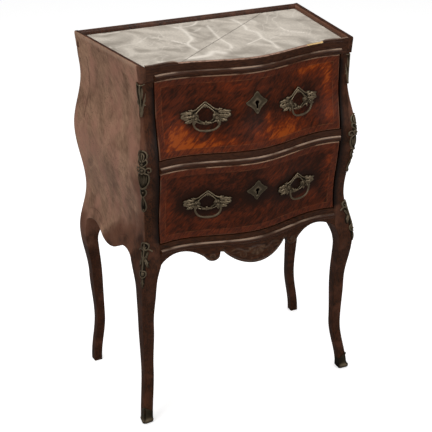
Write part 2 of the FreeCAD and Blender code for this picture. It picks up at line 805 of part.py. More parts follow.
def bail(drawer, centre, along, outward):
    """Drop bail with a pin turned in to each post."""
    half = float(size.bail_half_width)
    drop = float(size.bail_drop)
    rim = float(size.bail_thickness) / 2.0
    behind = centre - outward * rim

    def edge(offset):
        """Points of the outer or inner edge of the bail, from the left eye to the right one."""
        side = half + offset
        radius = float(size.bail_corner_radius) + offset
        bend_z = radius - drop - offset
        points = [(-side, rim)]
        for bend_x, start in ((radius - side, 180.0), (side - radius, 270.0)):
            for step in range(BEND_STEPS + 1):
                angle = math.radians(start + 90.0 * step / BEND_STEPS)
                points.append((bend_x + radius * math.cos(angle), bend_z + radius * math.sin(angle)))
        points.append((side, rim))
        return [behind + along * x + FreeCAD.Vector(0, 0, z) for x, z in points]

    outline = closed_polygon(edge(rim) + list(reversed(edge(-rim))))
    bow = extrusion(f"{drawer}_bow", outline, outward * 2.0 * rim)
    pin_length = size.bail_half_width - size.post_offset + size.post_radius
    pins = []
    for sign in (-1.0, 1.0):
        start = centre + along * sign * half
        pin = doc.addObject("Part::Cylinder", f"{drawer}_pin")
        bind(pin, Height=pin_length, Radius=size.pin_radius)
        pin.Placement = FreeCAD.Placement(start, FreeCAD.Rotation(FreeCAD.Vector(0, 0, 1), along * -sign))
        pins.append(pin)
    return fuse(f"{drawer}_bail", bow, *pins)


def drawer(name, opening_bottom, opening_top, pivots):
    """A drawer with its box, handles, lock and escutcheon."""
    low = opening_bottom + size.drawer_gap
    high = opening_top - size.drawer_gap
    middle = (low + high) / 2.0
    face_y = y_at(drawer_face)
    keyhole_z = middle + size.keyhole_rise

    plate, bail, holes, nuts = handle(name, float(middle), pivots)
    node(plate, f"{name}_right_plate")
    node(mirrored(f"{name}_left_plate", plate), f"{name}_left_plate")
    node(bail, f"{name}_right_bail")
    node(mirrored(f"{name}_left_bail", bail), f"{name}_left_bail")
    left_nuts = [mirrored(f"{name}_left_nut_{count}", nut) for count, nut in enumerate(nuts)]
    node(fuse(f"{name}_nuts", *nuts, *left_nuts), f"{name}_handle_nuts")

    keyhole_end = keyhole_outline(float(keyhole_z), face_y + size.keyhole_pocket)
    keyhole = extrusion(f"{name}_keyhole", keyhole_end, vector(0, -FAR, 0))
    lozenge = extrusion(f"{name}_lozenge", escutcheon_outline(float(keyhole_z)), vector(0, -FAR, 0))
    lozenge_low = on_front(0.0, keyhole_z - size.escutcheon_half_height)
    lozenge_high = on_front(0.0, keyhole_z + size.escutcheon_half_height)
    layer = flat_layer(f"{name}_escutcheon_layer", lozenge_low, lozenge_high, FreeCAD.Vector(1, 0, 0),
                       size.escutcheon_thickness)
    escutcheon = common(f"{name}_escutcheon", lozenge, layer)
    node(cut(f"{name}_escutcheon", escutcheon, case_form, keyhole), f"{name}_escutcheon")

    blank = box(f"{name}_blank", (-drawer_half_width, drawer_half_width), (-FAR, face_y),
                (low, high))
    left_holes = [mirrored(f"{name}_left_hole_{count}", hole) for count, hole in enumerate(holes)]
    front = common(f"{name}_front", case_form, blank)
    node(cut(f"{name}_front", front, keyhole, *holes, *left_holes), f"{name}_front")

    box_low = opening_bottom + size.running_gap
    box_back = y_at(size.drawer_back_depth)
    side_high = opening_top - size.drawer_side_drop
    inner_half = box_half_width - size.drawer_side_thickness
    bottom_low = box_low + size.drawer_bottom_rise
    bottom_high = bottom_low + size.drawer_bottom_thickness
    groove_half = inner_half + size.groove_depth
    side = box(f"{name}_side", (inner_half, box_half_width), (face_y, box_back), (box_low, side_high))
    groove = box(f"{name}_groove", (-groove_half, groove_half), (face_y, box_back),
                 (bottom_low, bottom_high))
    right_side = node(cut(f"{name}_right_side", side, groove), f"{name}_right_side")
    node(mirrored(f"{name}_left_side", right_side), f"{name}_left_side")
    bottom_half = groove_half - size.running_gap
    node(box(f"{name}_bottom", (-bottom_half, bottom_half), (face_y, box_back),
             (bottom_low, bottom_high)), f"{name}_bottom")
    node(box(f"{name}_back", (-inner_half, inner_half), (box_back - size.drawer_side_thickness, box_back),
             (bottom_high, side_high)), f"{name}_back")

    case_low = keyhole_z - size.keyhole_drop - size.lock_below_keyhole
    bolt_top = high - size.bolt_clearance
    bolt_low = bolt_top - size.bolt_length
    bolt_y = face_y + (size.lock_thickness - size.bolt_thickness) / 2.0
    half_lock = size.lock_width / 2.0
    half_bolt = size.bolt_width / 2.0
    slot_half = half_bolt + size.bolt_clearance
    slot_y = (bolt_y - size.bolt_clearance, bolt_y + size.bolt_thickness + size.bolt_clearance)
    lock_case = box(f"{name}_lock_blank", (-half_lock, half_lock), (face_y, face_y + size.lock_thickness),
                    (case_low, bolt_top))
    slot = box(f"{name}_bolt_slot", (-slot_half, slot_half), slot_y,
               (bolt_low - size.bolt_clearance, bolt_top + CUT_MARGIN))
    node(cut(f"{name}_lock", lock_case, slot, keyhole), f"{name}_lock_case")
    node(box(f"{name}_bolt", (-half_bolt, half_bolt), (bolt_y, bolt_y + size.bolt_thickness),
             (bolt_low, bolt_top)), f"{name}_lock_bolt")
    mortise_top = bolt_top + size.bolt_travel + size.bolt_clearance
    return box(f"{name}_mortise", (-slot_half, slot_half), slot_y, (opening_top - CUT_MARGIN, mortise_top))


pivot_frames = {}
lower_mortise = drawer("lower_drawer", drawer_floor, middle_rail_bottom, pivot_frames)
upper_mortise = drawer("upper_drawer", middle_rail_top, case_top, pivot_frames)
node(cut("middle_rail", middle_rail_blank, lower_mortise), "middle_rail")
node(cut("top_rail", top_rail_blank, upper_mortise), "top_rail")

# Guides that keep each drawer straight
guide_inner = box_half_width + size.running_gap
for guide_name, floor in (("lower", drawer_floor), ("upper", middle_rail_top)):
    right_guide = box(f"{guide_name}_guide", (guide_inner, guide_inner + size.guide_width),
                      (y_at(rail_back), back_y - size.back_post_width),
                      (floor, floor + size.guide_height))
    left_guide = mirrored(f"{guide_name}_left_guide", right_guide)
    node(fuse(f"{guide_name}_guides", right_guide, left_guide), f"{guide_name}_drawer_guides")

# Bronze mounts folded round the front corners
corner_skin = moved("corner_skin", case_form, x=size.mount_thickness, y=-size.mount_thickness)
DIAGONAL = FreeCAD.Vector(1, -1, 0).normalize()
ACROSS = FreeCAD.Vector(1, 1, 0).normalize()


def corner_mount(name, high, length, half_width, shares):
    """A mount along the arris, with shares of its half width at even steps from its foot to its head."""
    half_widths = [float(half_width) * share for share in shares]
    steps = len(shares) + 1
    spine = []
    for count in range(steps + 1):
        height = float(high - length * (1.0 - count / steps))
        corner_half, corner_depth = plan_at(height)[:2]
        spine.append(vector(corner_half, y_at(corner_depth), height))
    right = [point + ACROSS * width for point, width in zip(spine[1:], half_widths)]
    left = [point - ACROSS * width for point, width in zip(spine[1:], half_widths)]
    ring = [spine[0]] + right + [spine[-1]] + list(reversed(left))
    flat_ring = [point - DIAGONAL * (point.dot(DIAGONAL)) for point in ring]
    prism = extrusion(f"{name}_prism", closed_polygon(flat_ring), DIAGONAL * FAR)
    right_piece = node(cut(name, common(name, corner_skin, prism), case_form), f"{name}_right")
    node(mirrored(f"{name}_mirror", right_piece), f"{name}_left")


bulge_height = drawer_floor + size.bulge_rise
knee_height = drawer_floor + size.knee_rise
corner_mount("upper_mount", case_top - size.upper_mount_drop, size.upper_mount_length,
             size.upper_mount_half_width, (0.55, 0.9, 1.0, 0.8))
corner_mount("middle_mount", bulge_height + size.middle_mount_rise, size.middle_mount_length,
             size.middle_mount_half_width, (0.27, 0.36, 0.45, 0.73, 1.0, 1.0, 0.64))
corner_mount("knee_mount", knee_height + size.knee_mount_rise, size.knee_mount_length,
             size.knee_mount_half_width, (0.36, 0.64, 0.91, 1.0, 0.82, 0.55))

doc.recompute()

for piece in doc.Objects:
    if "Invalid" in piece.State or "Error" in piece.State:
        raise RuntimeError(f"{piece.Name} failed: {piece.State}")
for piece in nodes:
    if piece.Shape.isNull() or not piece.Shape.isValid():
        raise RuntimeError(f"{piece.Label} has no valid shape")

os.makedirs("parts", exist_ok=True)
for piece in nodes:
    piece.Shape.exportStep(f"parts/{piece.Label}.step")
for name, (centre, along) in pivot_frames.items():
    print(name, "right bail pivot", centre, "axis", along)
print(len(nodes), "parts written")
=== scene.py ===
import json
import math
from collections import namedtuple
from functools import cache, partial

import bmesh
import bpy
import numpy as np
from bpy.props import FloatProperty, FloatVectorProperty, PointerProperty
from mathutils import Matrix, Vector


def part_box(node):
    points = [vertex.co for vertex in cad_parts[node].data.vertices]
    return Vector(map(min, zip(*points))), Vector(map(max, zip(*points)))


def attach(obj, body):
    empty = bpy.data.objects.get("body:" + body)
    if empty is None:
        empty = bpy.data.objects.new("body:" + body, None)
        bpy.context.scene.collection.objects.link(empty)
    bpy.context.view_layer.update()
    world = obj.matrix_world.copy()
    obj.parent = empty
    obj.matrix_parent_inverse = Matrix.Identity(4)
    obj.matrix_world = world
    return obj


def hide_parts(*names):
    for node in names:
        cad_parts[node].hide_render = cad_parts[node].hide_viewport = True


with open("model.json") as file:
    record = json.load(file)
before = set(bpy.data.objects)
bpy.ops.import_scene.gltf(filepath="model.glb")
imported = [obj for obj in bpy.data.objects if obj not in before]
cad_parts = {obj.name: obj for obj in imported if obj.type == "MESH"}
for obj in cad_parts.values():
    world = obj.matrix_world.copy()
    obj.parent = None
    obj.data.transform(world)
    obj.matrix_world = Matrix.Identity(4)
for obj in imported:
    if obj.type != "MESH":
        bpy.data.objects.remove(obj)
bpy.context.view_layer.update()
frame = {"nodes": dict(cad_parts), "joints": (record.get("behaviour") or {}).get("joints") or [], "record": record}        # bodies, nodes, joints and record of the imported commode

bl_info = {
    "name": "Bombé bedside commode",
    "version": (1, 0, 0),
    "blender": (4, 5, 0),
    "location": "3D View > Sidebar > Commode",
    "description": "Veneer, marble and bronzes of a bedside commode, built on its packed solids",
    "category": "Add Mesh",
}

# All shapes below are worked out in millimetres and become metres when their mesh is made.
MM = 0.001
FAR = 100.0                # border of a corner that lies near no edge or line
CREASE = 38.0              # degrees past which an edge is drawn sharp
SOFT_CREASE = 50.0         # the same on castings, beads and marble
CAST_FOOT = -0.8           # how far a plate's casting is let into the wood
LEAF_COLUMNS = 9
BACK_Y = 157.0             # back of the case; depths run forwards from it
OPENING = 187.0            # half width of the opening for the drawers
DRAWER_HALF = 185.8
DRAWER_FLOOR = 393.5
DRAWER_REAR_Y = -87.0
KEYHOLE_RISE = 15.0        # keyhole over the middle of a drawer front
FLARE_FOOT = 296.0         # height at which a leg begins to widen into its post
SHOULDER = 356.0
CASE_TOP = 710.0
TOTAL_HEIGHT = 740.0
POST_BACK = 228.0          # depth of the front posts' rear faces
BACK_POST = 30.0           # depth of the back posts' front faces
BACK_POST_HALF = 192.0     # half width between the back posts
RAIL_BACK_Y = -58.0
MIDDLE_RAIL_FOOT, MIDDLE_RAIL_TOP = 541.5, 564.9
BOLT_ROOM = 0.5            # play of a lock bolt in its mortise
BOLT_TRAVEL = 8.0
MARBLE_BOTTOM, MARBLE_TOP = 720.0, 732.0
RIM_WIDTH = 12.0
EDGE_WIDTH = 6.0           # top rail in front of the marble
TORN_WIDTH = 8.0           # torn lip on it, which still laps the marble
TORN_TOP = 735.5           # top of the rail where the lip is torn off it
LIP_BASE = 735.3
LIP_LEFT, LIP_RIGHT = 141.0, 150.0      # inner ends of what is left of the lip

# Plans of the case from the toes to the crown: height, corner half width, corner depth,
# back half width, drawer-line depth and leg width.
STATIONS = np.array((
    (0.0, 235.0, 275.0, 256.0, 275.0, 18.5),
    (115.0, 223.5, 259.0, 243.5, 259.0, 19.0),
    (215.0, 224.5, 263.0, 248.5, 263.0, 23.0),
    (325.0, 228.5, 281.0, 261.0, 281.0, 29.0),
    (425.0, 213.0, 263.5, 241.0, 269.0, 29.0),
    (550.0, 220.5, 284.0, 257.0, 284.0, 29.0),
    (660.0, 208.5, 262.5, 236.5, 270.0, 29.0),
    (710.0, 209.5, 262.5, 240.0, 270.0, 29.0),
))
RIM_PLAN = np.array((212.0, 269.5, 242.5, 272.5, 29.0))
CORNER_HALF, CORNER_DEPTH, BACK_HALF, FRONT_DEPTH, LEG_WIDTH = range(5)
# Serpentine: half width, reach forwards and slope at the middle, the hollow and the end.
SERPENTINE = ((0.0, 25.0, 0.0), (150.0, -4.5, -0.010881), (187.0, 0.0, 0.246463))

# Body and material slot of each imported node.
BODIES = {node: body for body, nodes in frame["record"]["behaviour"]["bodies"].items() for node in nodes}
SLOTS = {part["node"]: part["material_slot"] for part in frame["record"]["subparts"]}


def linear(text):
    """Linear colour of an sRGB hex value."""
    channels = [int(text[i:i + 2], 16) / 255.0 for i in (1, 3, 5)]
    return tuple(c / 12.92 if c <= 0.04045 else ((c + 0.055) / 1.055) ** 2.4 for c in channels) + (1.0,)


def tone(name, text, where):
    return FloatVectorProperty(name=name, description=f"Colour of {where}", subtype="COLOR", size=4,
                               min=0.0, max=1.0, default=linear(text))


def length(name, millimetres, what):
    return FloatProperty(name=name, description=what, default=millimetres * MM, min=0.0, unit="LENGTH",
                         precision=4)


class CommodeSizes(bpy.types.PropertyGroup):
    """Small sizes of the finish that a user may change."""
    edge: length("Edge rounding", 2.4, "Rounding of the drawers' edges")
    band: length("Crossband", 12.5, "Width of the crossband round a drawer")
    string: length("Stringing", 0.9, "Width of the light line inside the crossband")
    arris: length("Arris rounding", 2.4, "Rounding of the legs' corners")
    bead: length("Bead radius", 4.6, "Radius of the half-round mouldings")
    rod: length("Bail rod", 1.9, "Radius of the handles' bails")
    crack: length("Crack", 0.5, "Width of the break across the marble")


class CommodeColours(bpy.types.PropertyGroup):
    """Colours of the finish that a user may change."""
    veneer_dark: tone("Dark veneer", "#2b1206", "the dark figure of the drawer veneer")
    veneer_mid: tone("Red veneer", "#4f1f0a", "the middle tone of the drawer veneer")
    veneer_bright: tone("Flame", "#8f3f09", "the bright flame of the drawer veneer")
    stringing: tone("Stringing", "#7c4a2a", "the thin light line on the drawers")
    side_dark: tone("Side grain", "#5c4030", "the dark grain of the sides")
    side_light: tone("Side veneer", "#9f7b62", "the light grain of the sides")
    leg_dark: tone("Leg", "#201107", "the legs and the apron")
    leg_light: tone("Worn leg", "#48250f", "the rubbed grain of the legs")
    # colour of worn edges, and of the painted highlight on the mouldings' crests and the rims' top arris
    worn_edge_and_highlight: tone("Worn edge", "#b59a84", "the rubbed crests of the mouldings")
    bare_wood: tone("Bare wood", "#d9b67c", "the broken wood of the lip")
    inner_wood: tone("Inner wood", "#9a764f", "the unpolished boards inside")
    marble_grey: tone("Marble", "#a69c8f", "the ground of the marble")
    marble_vein: tone("Marble vein", "#f0e7da", "the veins of the marble")
    bronze_dark: tone("Bronze recess", "#1b150e", "the recesses of the bronzes")
    bronze_light: tone("Bronze crest", "#a39075", "the rubbed crests of the bronzes")
    iron: tone("Iron", "#3a3631", "the locks and nuts")


# Shapes

def plan_at(z):
    """Plan of the case at a height: corner half width and depth, back half width, front depth, leg width."""
    z = np.asarray(z, float)
    heights = STATIONS[:, 0]
    low = np.clip(np.searchsorted(heights, z, side="right") - 1, 0, len(heights) - 2)
    share = np.clip((z - heights[low]) / (heights[low + 1] - heights[low]), 0.0, 1.0)
    ease = ((1.0 - np.cos(np.pi * share)) / 2.0)[..., None]
    return STATIONS[low, 1:] * (1.0 - ease) + STATIONS[low + 1, 1:] * ease


def serpentine(x):
    """How far the front stands forward of its ends at a width."""
    reach = np.zeros_like(np.asarray(x, float))
    across = np.minimum(np.abs(x), OPENING)
    for (low, a, slope_a), (high, b, slope_b) in zip(SERPENTINE, SERPENTINE[1:]):
        span = high - low
        t = (across - low) / span
        curve = (a * (2 * t**3 - 3 * t**2 + 1) + b * (3 * t**2 - 2 * t**3)
                 + span * (slope_a * (t**3 - 2 * t**2 + t) + slope_b * (t**3 - t**2)))
        reach = np.where((across >= low) & (across <= high), curve, reach)
    return reach


def front_at(x, z, out=0.0, plan=None):
    """Points of the front between and on the posts, a distance out from it."""
    x, z = np.broadcast_arrays(np.asarray(x, float), np.asarray(z, float))
    plan = plan_at(z) if plan is None else np.broadcast_to(plan, z.shape + (5,))
    past = ramp(np.abs(x), OPENING, plan[..., CORNER_HALF])
    line, corner = plan[..., FRONT_DEPTH], plan[..., CORNER_DEPTH]
    depth = line + (corner - line) * past + serpentine(x)
    return stacked(x, BACK_Y - depth - out, z)


def side_half(depth, plan):
    """Half width of a side at a depth from the back."""
    back = plan[..., BACK_HALF]
    return back + (plan[..., CORNER_HALF] - back) * depth / plan[..., CORNER_DEPTH]


def ramp(value, low, high):
    """Share of the way from low to high, held at both ends."""
    return np.clip((value - low) / (high - low), 0.0, 1.0)


def ridge(distance, width):
    """Rounded ridge of unit height at a distance from its crest."""
    return np.exp(-((distance / width) ** 2))


def stacked(*parts):
    """Points from their coordinates, each a number or an array."""
    return np.stack(np.broadcast_arrays(*parts), axis=-1)


def lines(low, high, insets, step):
    """Places from low to high: at each inset from both ends, and at even steps between them."""
    inner = insets[-1]
    count = max(2, int(round((high - low - 2 * inner) / step)))
    middle = np.linspace(low + inner, high - inner, count + 1)
    ends = np.array(insets[:-1])
    return np.concatenate((low + ends, middle, (high - ends)[::-1]))


def set_back(distance, radius):
    """How far a rounded edge falls away at a distance from it."""
    short = np.clip(radius - distance, 0.0, radius)
    return radius - np.sqrt(np.maximum(radius**2 - short**2, 0.0))


def arc_height(x, start, middle, end):
    """Height over x of the arc through three points."""
    (ax, ay), (bx, by), (cx, cy) = start, middle, end
    d = 2.0 * (ax * (by - cy) + bx * (cy - ay) + cx * (ay - by))
    a2, b2, c2 = ax * ax + ay * ay, bx * bx + by * by, cx * cx + cy * cy
    ox = (a2 * (by - cy) + b2 * (cy - ay) + c2 * (ay - by)) / d
    oy = (a2 * (cx - bx) + b2 * (ax - cx) + c2 * (bx - ax)) / d
    radius = math.hypot(ax - ox, ay - oy)
    swing = np.sqrt(np.maximum(radius**2 - (x - ox) ** 2, 0.0))
    return oy + math.copysign(1.0, by - oy) * swing


def spline(points, first, share):
    """Smooth curve through points, a share of the way from the second to the third of four neighbours."""
    a, b, c, d = (points[(first + k) % len(points)] for k in range(4))
    f = share[:, None]
    return 0.5 * (2 * b + (c - a) * f + (2 * a - 5 * b + 4 * c - d) * f**2 + (3 * b - a - 3 * c + d) * f**3)


def smooth_loop(points, count):
    """Closed smooth curve through points, at even steps."""
    points = np.asarray(points, float)
    t = np.arange(count) * len(points) / count
    i = np.floor(t).astype(int)
    return spline(points, i - 1, t - i)


def smooth_line(points, count):
    """Open smooth curve through points, at even steps."""
    points = np.asarray(points, float)
    ends = np.vstack((2 * points[0] - points[1], points, 2 * points[-1] - points[-2]))
    t = np.linspace(0.0, len(points) - 1.0, count)
    i = np.minimum(np.floor(t).astype(int), len(points) - 2)
    return spline(ends, i, t - i)


def rounded_ring(corners, radii, steps=4):
    """Ring of a polygon whose corners are rounded."""
    ring = []
    count = len(corners)
    t = np.linspace(0.0, 1.0, steps + 1)[:, None]
    for i in range(count):
        corner = np.asarray(corners[i], float)
        if not radii[i]:
            ring.append(corner[None])
            continue
        back = np.asarray(corners[i - 1], float) - corner
        ahead = np.asarray(corners[(i + 1) % count], float) - corner
        start = corner + back / np.linalg.norm(back) * radii[i]
        end = corner + ahead / np.linalg.norm(ahead) * radii[i]
        ring.append((1 - t) ** 2 * start + 2 * t * (1 - t) * corner + t**2 * end)
    return np.concatenate(ring)


def box_mm(node):
    """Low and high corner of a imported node, in millimetres."""
    return [np.array(corner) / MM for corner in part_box(node)]


def write_values(mesh, title, values):
    """Give each corner of a mesh a value that a material or a node tree reads."""
    layer = mesh.attributes.new(title, "FLOAT", "POINT")
    layer.data.foreach_set("value", values.astype(np.float32))


class Form:
    """Corners and faces of one piece, in millimetres, with values on each corner for its material.

    The mark says how bright, bleached or raised a place is, and the border how far it lies from an edge.
    A place function moves corners from the flat of a mount onto the case.
    """

    def __init__(self, place=np.asarray):
        self.place = place
        self.points = []
        self.marks = []
        self.borders = []
        self.faces = []

    def add(self, points, mark, border):
        """Take in corners with their values, and give the number of the first one."""
        start = sum(len(block) for block in self.points)
        self.points.append(self.place(points.reshape(-1, 3)))
        self.marks.append(np.broadcast_to(mark, points.shape[:-1]).reshape(-1))
        self.borders.append(np.broadcast_to(border, points.shape[:-1]).reshape(-1))
        return start

    def slab(self, front, back, mark=0.0, border=FAR, keep=None, wrap=False, back_mark=None,
             back_border=None):
        """Closed body between two grids; keep leaves out cells, wrap joins the last column to the first."""
        rows, cols = front.shape[:2]
        cells = cols if wrap else cols - 1
        keep = np.ones((rows - 1, cells), bool) if keep is None else keep
        first = self.add(front, mark, border)
        second = self.add(back, mark if back_mark is None else back_mark,
                          border if back_border is None else back_border)
        for r, c in np.argwhere(keep).tolist():
            n = (c + 1) % cols
            a, b, d, e = r * cols + c, r * cols + n, (r + 1) * cols + n, (r + 1) * cols + c
            self.faces.append((first + a, first + b, first + d, first + e))
            self.faces.append((second + e, second + d, second + b, second + a))
            neighbours = ((r - 1, c, a, b), (r, c + 1, b, d), (r + 1, c, d, e), (r, c - 1, e, a))
            for i, j, start, end in neighbours:
                j = j % cols if wrap else j
                inside = 0 <= i < rows - 1 and 0 <= j < cells and keep[i, j]
                if not inside:
                    self.faces.append((first + end, first + start, second + start, second + end))
        return self

    def loft(self, rings, mark=0.0, closed=False):
        """Skin through rings of equal count; its ends are filled, or the last ring joins the first."""
        rings = np.asarray(rings, float)
        rows, cols = rings.shape[:2]
        start = self.add(rings, mark, FAR)
        for r in range(rows if closed else rows - 1):
            near, far = start + r * cols, start + (r + 1) % rows * cols
            for c in range(cols):
                n = (c + 1) % cols
                self.faces.append((near + c, near + n, far + n, far + c))
        if not closed:
            self.faces.append(tuple(start + c for c in reversed(range(cols))))
            self.faces.append(tuple(start + (rows - 1) * cols + c for c in range(cols)))
        return self

    def pierced(self, inner, outer, section, marks):
        """Plate from an opening to an outline, with a section of shares of the way and heights."""
        share, height = np.array(section).T[..., None]
        u, v = np.moveaxis(inner + (outer - inner) * share[..., None], -1, 0)
        self.slab(stacked(u, v, height), stacked(u, v, CAST_FOOT), marks(height), wrap=True, back_mark=0.0)

    def leaf(self, start, heading, long, wide, high, curl=0.0, lobes=0, lift=0.0, rows=15, bright=1.0):
        """Ribbed leaf that lies in the plane of a mount, from its foot along a heading in degrees."""
        t = np.linspace(0.0, 1.0, rows)
        angle = np.radians(heading + curl * t)
        step = long / (rows - 1)
        u0 = start[0] + np.concatenate(((0.0,), np.cumsum(np.sin(angle[:-1])))) * step
        v0 = start[1] + np.concatenate(((0.0,), np.cumsum(np.cos(angle[:-1])))) * step
        half = 0.5 * wide * np.maximum(np.sin(np.pi * t**0.8) ** 0.75, 0.08)
        half = half * (1.0 + 0.24 * np.cos(2.0 * np.pi * lobes * t + np.pi)) if lobes else half
        s = np.linspace(-1.0, 1.0, LEAF_COLUMNS)
        u = u0[:, None] + np.cos(angle)[:, None] * half[:, None] * s
        v = v0[:, None] - np.sin(angle)[:, None] * half[:, None] * s
        dome = np.maximum(1.0 - s**2, 0.0) ** 0.6 * (1.0 - 0.45 * ridge(s, 0.2))
        rise = np.maximum(np.sin(np.pi * np.clip(0.06 + 0.9 * t, 0.0, 1.0)), 0.0)[:, None] ** 0.5
        mark = np.clip(dome * 1.3 * rise, 0.0, 1.0) * bright
        self.slab(stacked(u, v, lift + high * dome * rise), stacked(u, v, -1.0), mark, back_mark=0.0)

    def piece(self, name, finish, node, crease=CREASE):
        """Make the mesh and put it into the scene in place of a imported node."""
        mesh = bpy.data.meshes.new(name)
        mesh.from_pydata((np.concatenate(self.points) * MM).tolist(), [], self.faces)
        write_values(mesh, "mark", np.concatenate(self.marks))
        write_values(mesh, "border", np.concatenate(self.borders))
        mesh.materials.append(material(finish))
        settle(name, mesh, node, crease)


def settle(name, mesh, node, crease):
    """Put a finished mesh into the scene: it rides on its node's body and stands for the node."""
    shell = bmesh.new()
    shell.from_mesh(mesh)
    bmesh.ops.dissolve_degenerate(shell, edges=shell.edges, dist=1e-7)
    bmesh.ops.recalc_face_normals(shell, faces=shell.faces)
    shell.to_mesh(mesh)
    shell.free()
    if not mesh.polygons:
        raise RuntimeError(f"{name} has no faces")
    mesh.shade_smooth()
    mesh.set_sharp_from_angle(angle=math.radians(crease))
    piece = bpy.data.objects.new(name, mesh)
    bpy.context.scene.collection.objects.link(piece)
    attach(piece, BODIES[node])
    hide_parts(node)


def circle(count):
    """Even turns round a circle."""
    return np.arange(count) * 2.0 * np.pi / count


def lathe(centre, profile, sides=18):
    """Rings of a turned form that stands on a mount, from radius and height pairs."""
    turn = circle(sides)
    return [stacked(centre[0] + r * np.cos(turn), centre[1] + r * np.sin(turn), w) for r, w in profile]


def tube(path, radius, sides=8):
    """Rings of a rod along a path."""
    ahead = np.gradient(path, axis=0)
    ahead /= np.linalg.norm(ahead, axis=1)[:, None]
    turn = circle(sides)[:, None]
    rings = []
    across = np.cross(ahead[0], (0.13, 0.57, 0.81))      # any direction that no path takes
    for point, direction in zip(path, ahead):
        across = across - direction * np.dot(across, direction)
        across /= np.linalg.norm(across)
        other = np.cross(direction, across)
        rings.append(point + radius * (np.cos(turn) * across + np.sin(turn) * other))
    return rings


def ellipsoid_bead(height, half, rows=7, sides=12):
    """Rings of a rounded bead on a mount, at a height and with three half axes."""
    turn = circle(sides)
    return [stacked(half[0] * math.cos(angle) * np.cos(turn), height + half[1] * math.sin(angle),
                    half[2] * math.cos(angle) * np.sin(turn)) for angle in np.linspace(-1.45, 1.45, rows)]


# Materials

def add(tree, kind, inputs=(), output=0, stops=(), **settings):
    """Add a node with its settings and links, and give one of its outputs."""
    node = tree.nodes.new(kind)
    for key, value in settings.items():
        setattr(node, key, value)
    for key, value in dict(inputs).items():
        if isinstance(value, bpy.types.NodeSocket):
            tree.links.new(value, node.inputs[key])
        else:
            node.inputs[key].default_value = value
    for _ in stops[2:]:
        node.color_ramp.elements.new(0.5)
    for number, (place, colour) in enumerate(stops):
        node.color_ramp.elements[number].position = place
        node.color_ramp.elements[number].color = colour
    return node.outputs[output] if len(node.outputs) else None


def grey(value):
    return (value, value, value, 1.0)


# Blotches about so many millimetres across, drawn out along turned axes.
Pattern = namedtuple("Pattern", "millimetres detail stretch turn distortion",
                     defaults=(3.0, (1.0, 1.0, 1.0), (0.0, 0.0, 0.0), 0.0))


class Finish:
    """A material in the making: its node tree, its shader and the values that it mixes."""

    def __init__(self, name, sockets, patterns):
        self.material = bpy.data.materials.new(name)
        self.material.use_nodes = True
        self.tree = self.material.node_tree
        self.add = partial(add, self.tree)
        self.shader = self.tree.nodes["Principled BSDF"]
        for key, value in sockets.items():
            self.shader.inputs[key].default_value = value
        self.values = {key: self.add("ShaderNodeAttribute", output="Fac", attribute_name=key)
                       for key in ("mark", "border")}
        normal = self.add("ShaderNodeNewGeometry", output="Normal")
        self.values["up"] = self.add("ShaderNodeSeparateXYZ", {0: normal}, "Z")
        place = self.add("ShaderNodeTexCoord", output="Object")
        for key, pattern in patterns.items():
            turned = self.add("ShaderNodeMapping", {"Vector": place, "Scale": pattern.stretch,
                                                    "Rotation": pattern.turn}, vector_type="TEXTURE")
            self.values[key] = self.add("ShaderNodeTexNoise", {
                "Vector": turned, "Scale": 1.0 / (pattern.millimetres * MM), "Detail": pattern.detail,
                "Distortion": pattern.distortion})

    def combine(self, operation, *ranges):
        """Values mapped from a range to another one, or to 0 and 1, held at its ends and joined."""
        result = None
        for key, low, high, *span in ranges:
            value = self.values[key] if isinstance(key, str) else key
            start, end = span or (0.0, 1.0)
            share = self.add("ShaderNodeMapRange", {0: value, 1: low, 2: high, 3: start, 4: end})
            result = share if result is None else self.add("ShaderNodeMath", {0: result, 1: share},
                                                           operation=operation)
        return result

    def layer(self, under, over, *ranges):
        """Lay a colour over another, as strongly as the product of mapped values."""
        under, over = (linear(colour) if isinstance(colour, str) else colour for colour in (under, over))
        factor = self.combine("MULTIPLY", *ranges)
        return self.add("ShaderNodeMix", {0: factor, 6: under, 7: over}, 2, data_type="RGBA")

    def finish(self, colour, bump, strength, depth, roughness=None):
        """Link the colour, a relief so many millimetres deep and, where it varies, the roughness."""
        self.tree.links.new(colour, self.shader.inputs["Base Color"])
        relief = self.add("ShaderNodeBump", {"Strength": strength, "Distance": depth * MM,
                                             "Height": self.values[bump]})
        self.tree.links.new(relief, self.shader.inputs["Normal"])
        if roughness:
            self.tree.links.new(self.combine("ADD", roughness), self.shader.inputs["Roughness"])
        return self.material


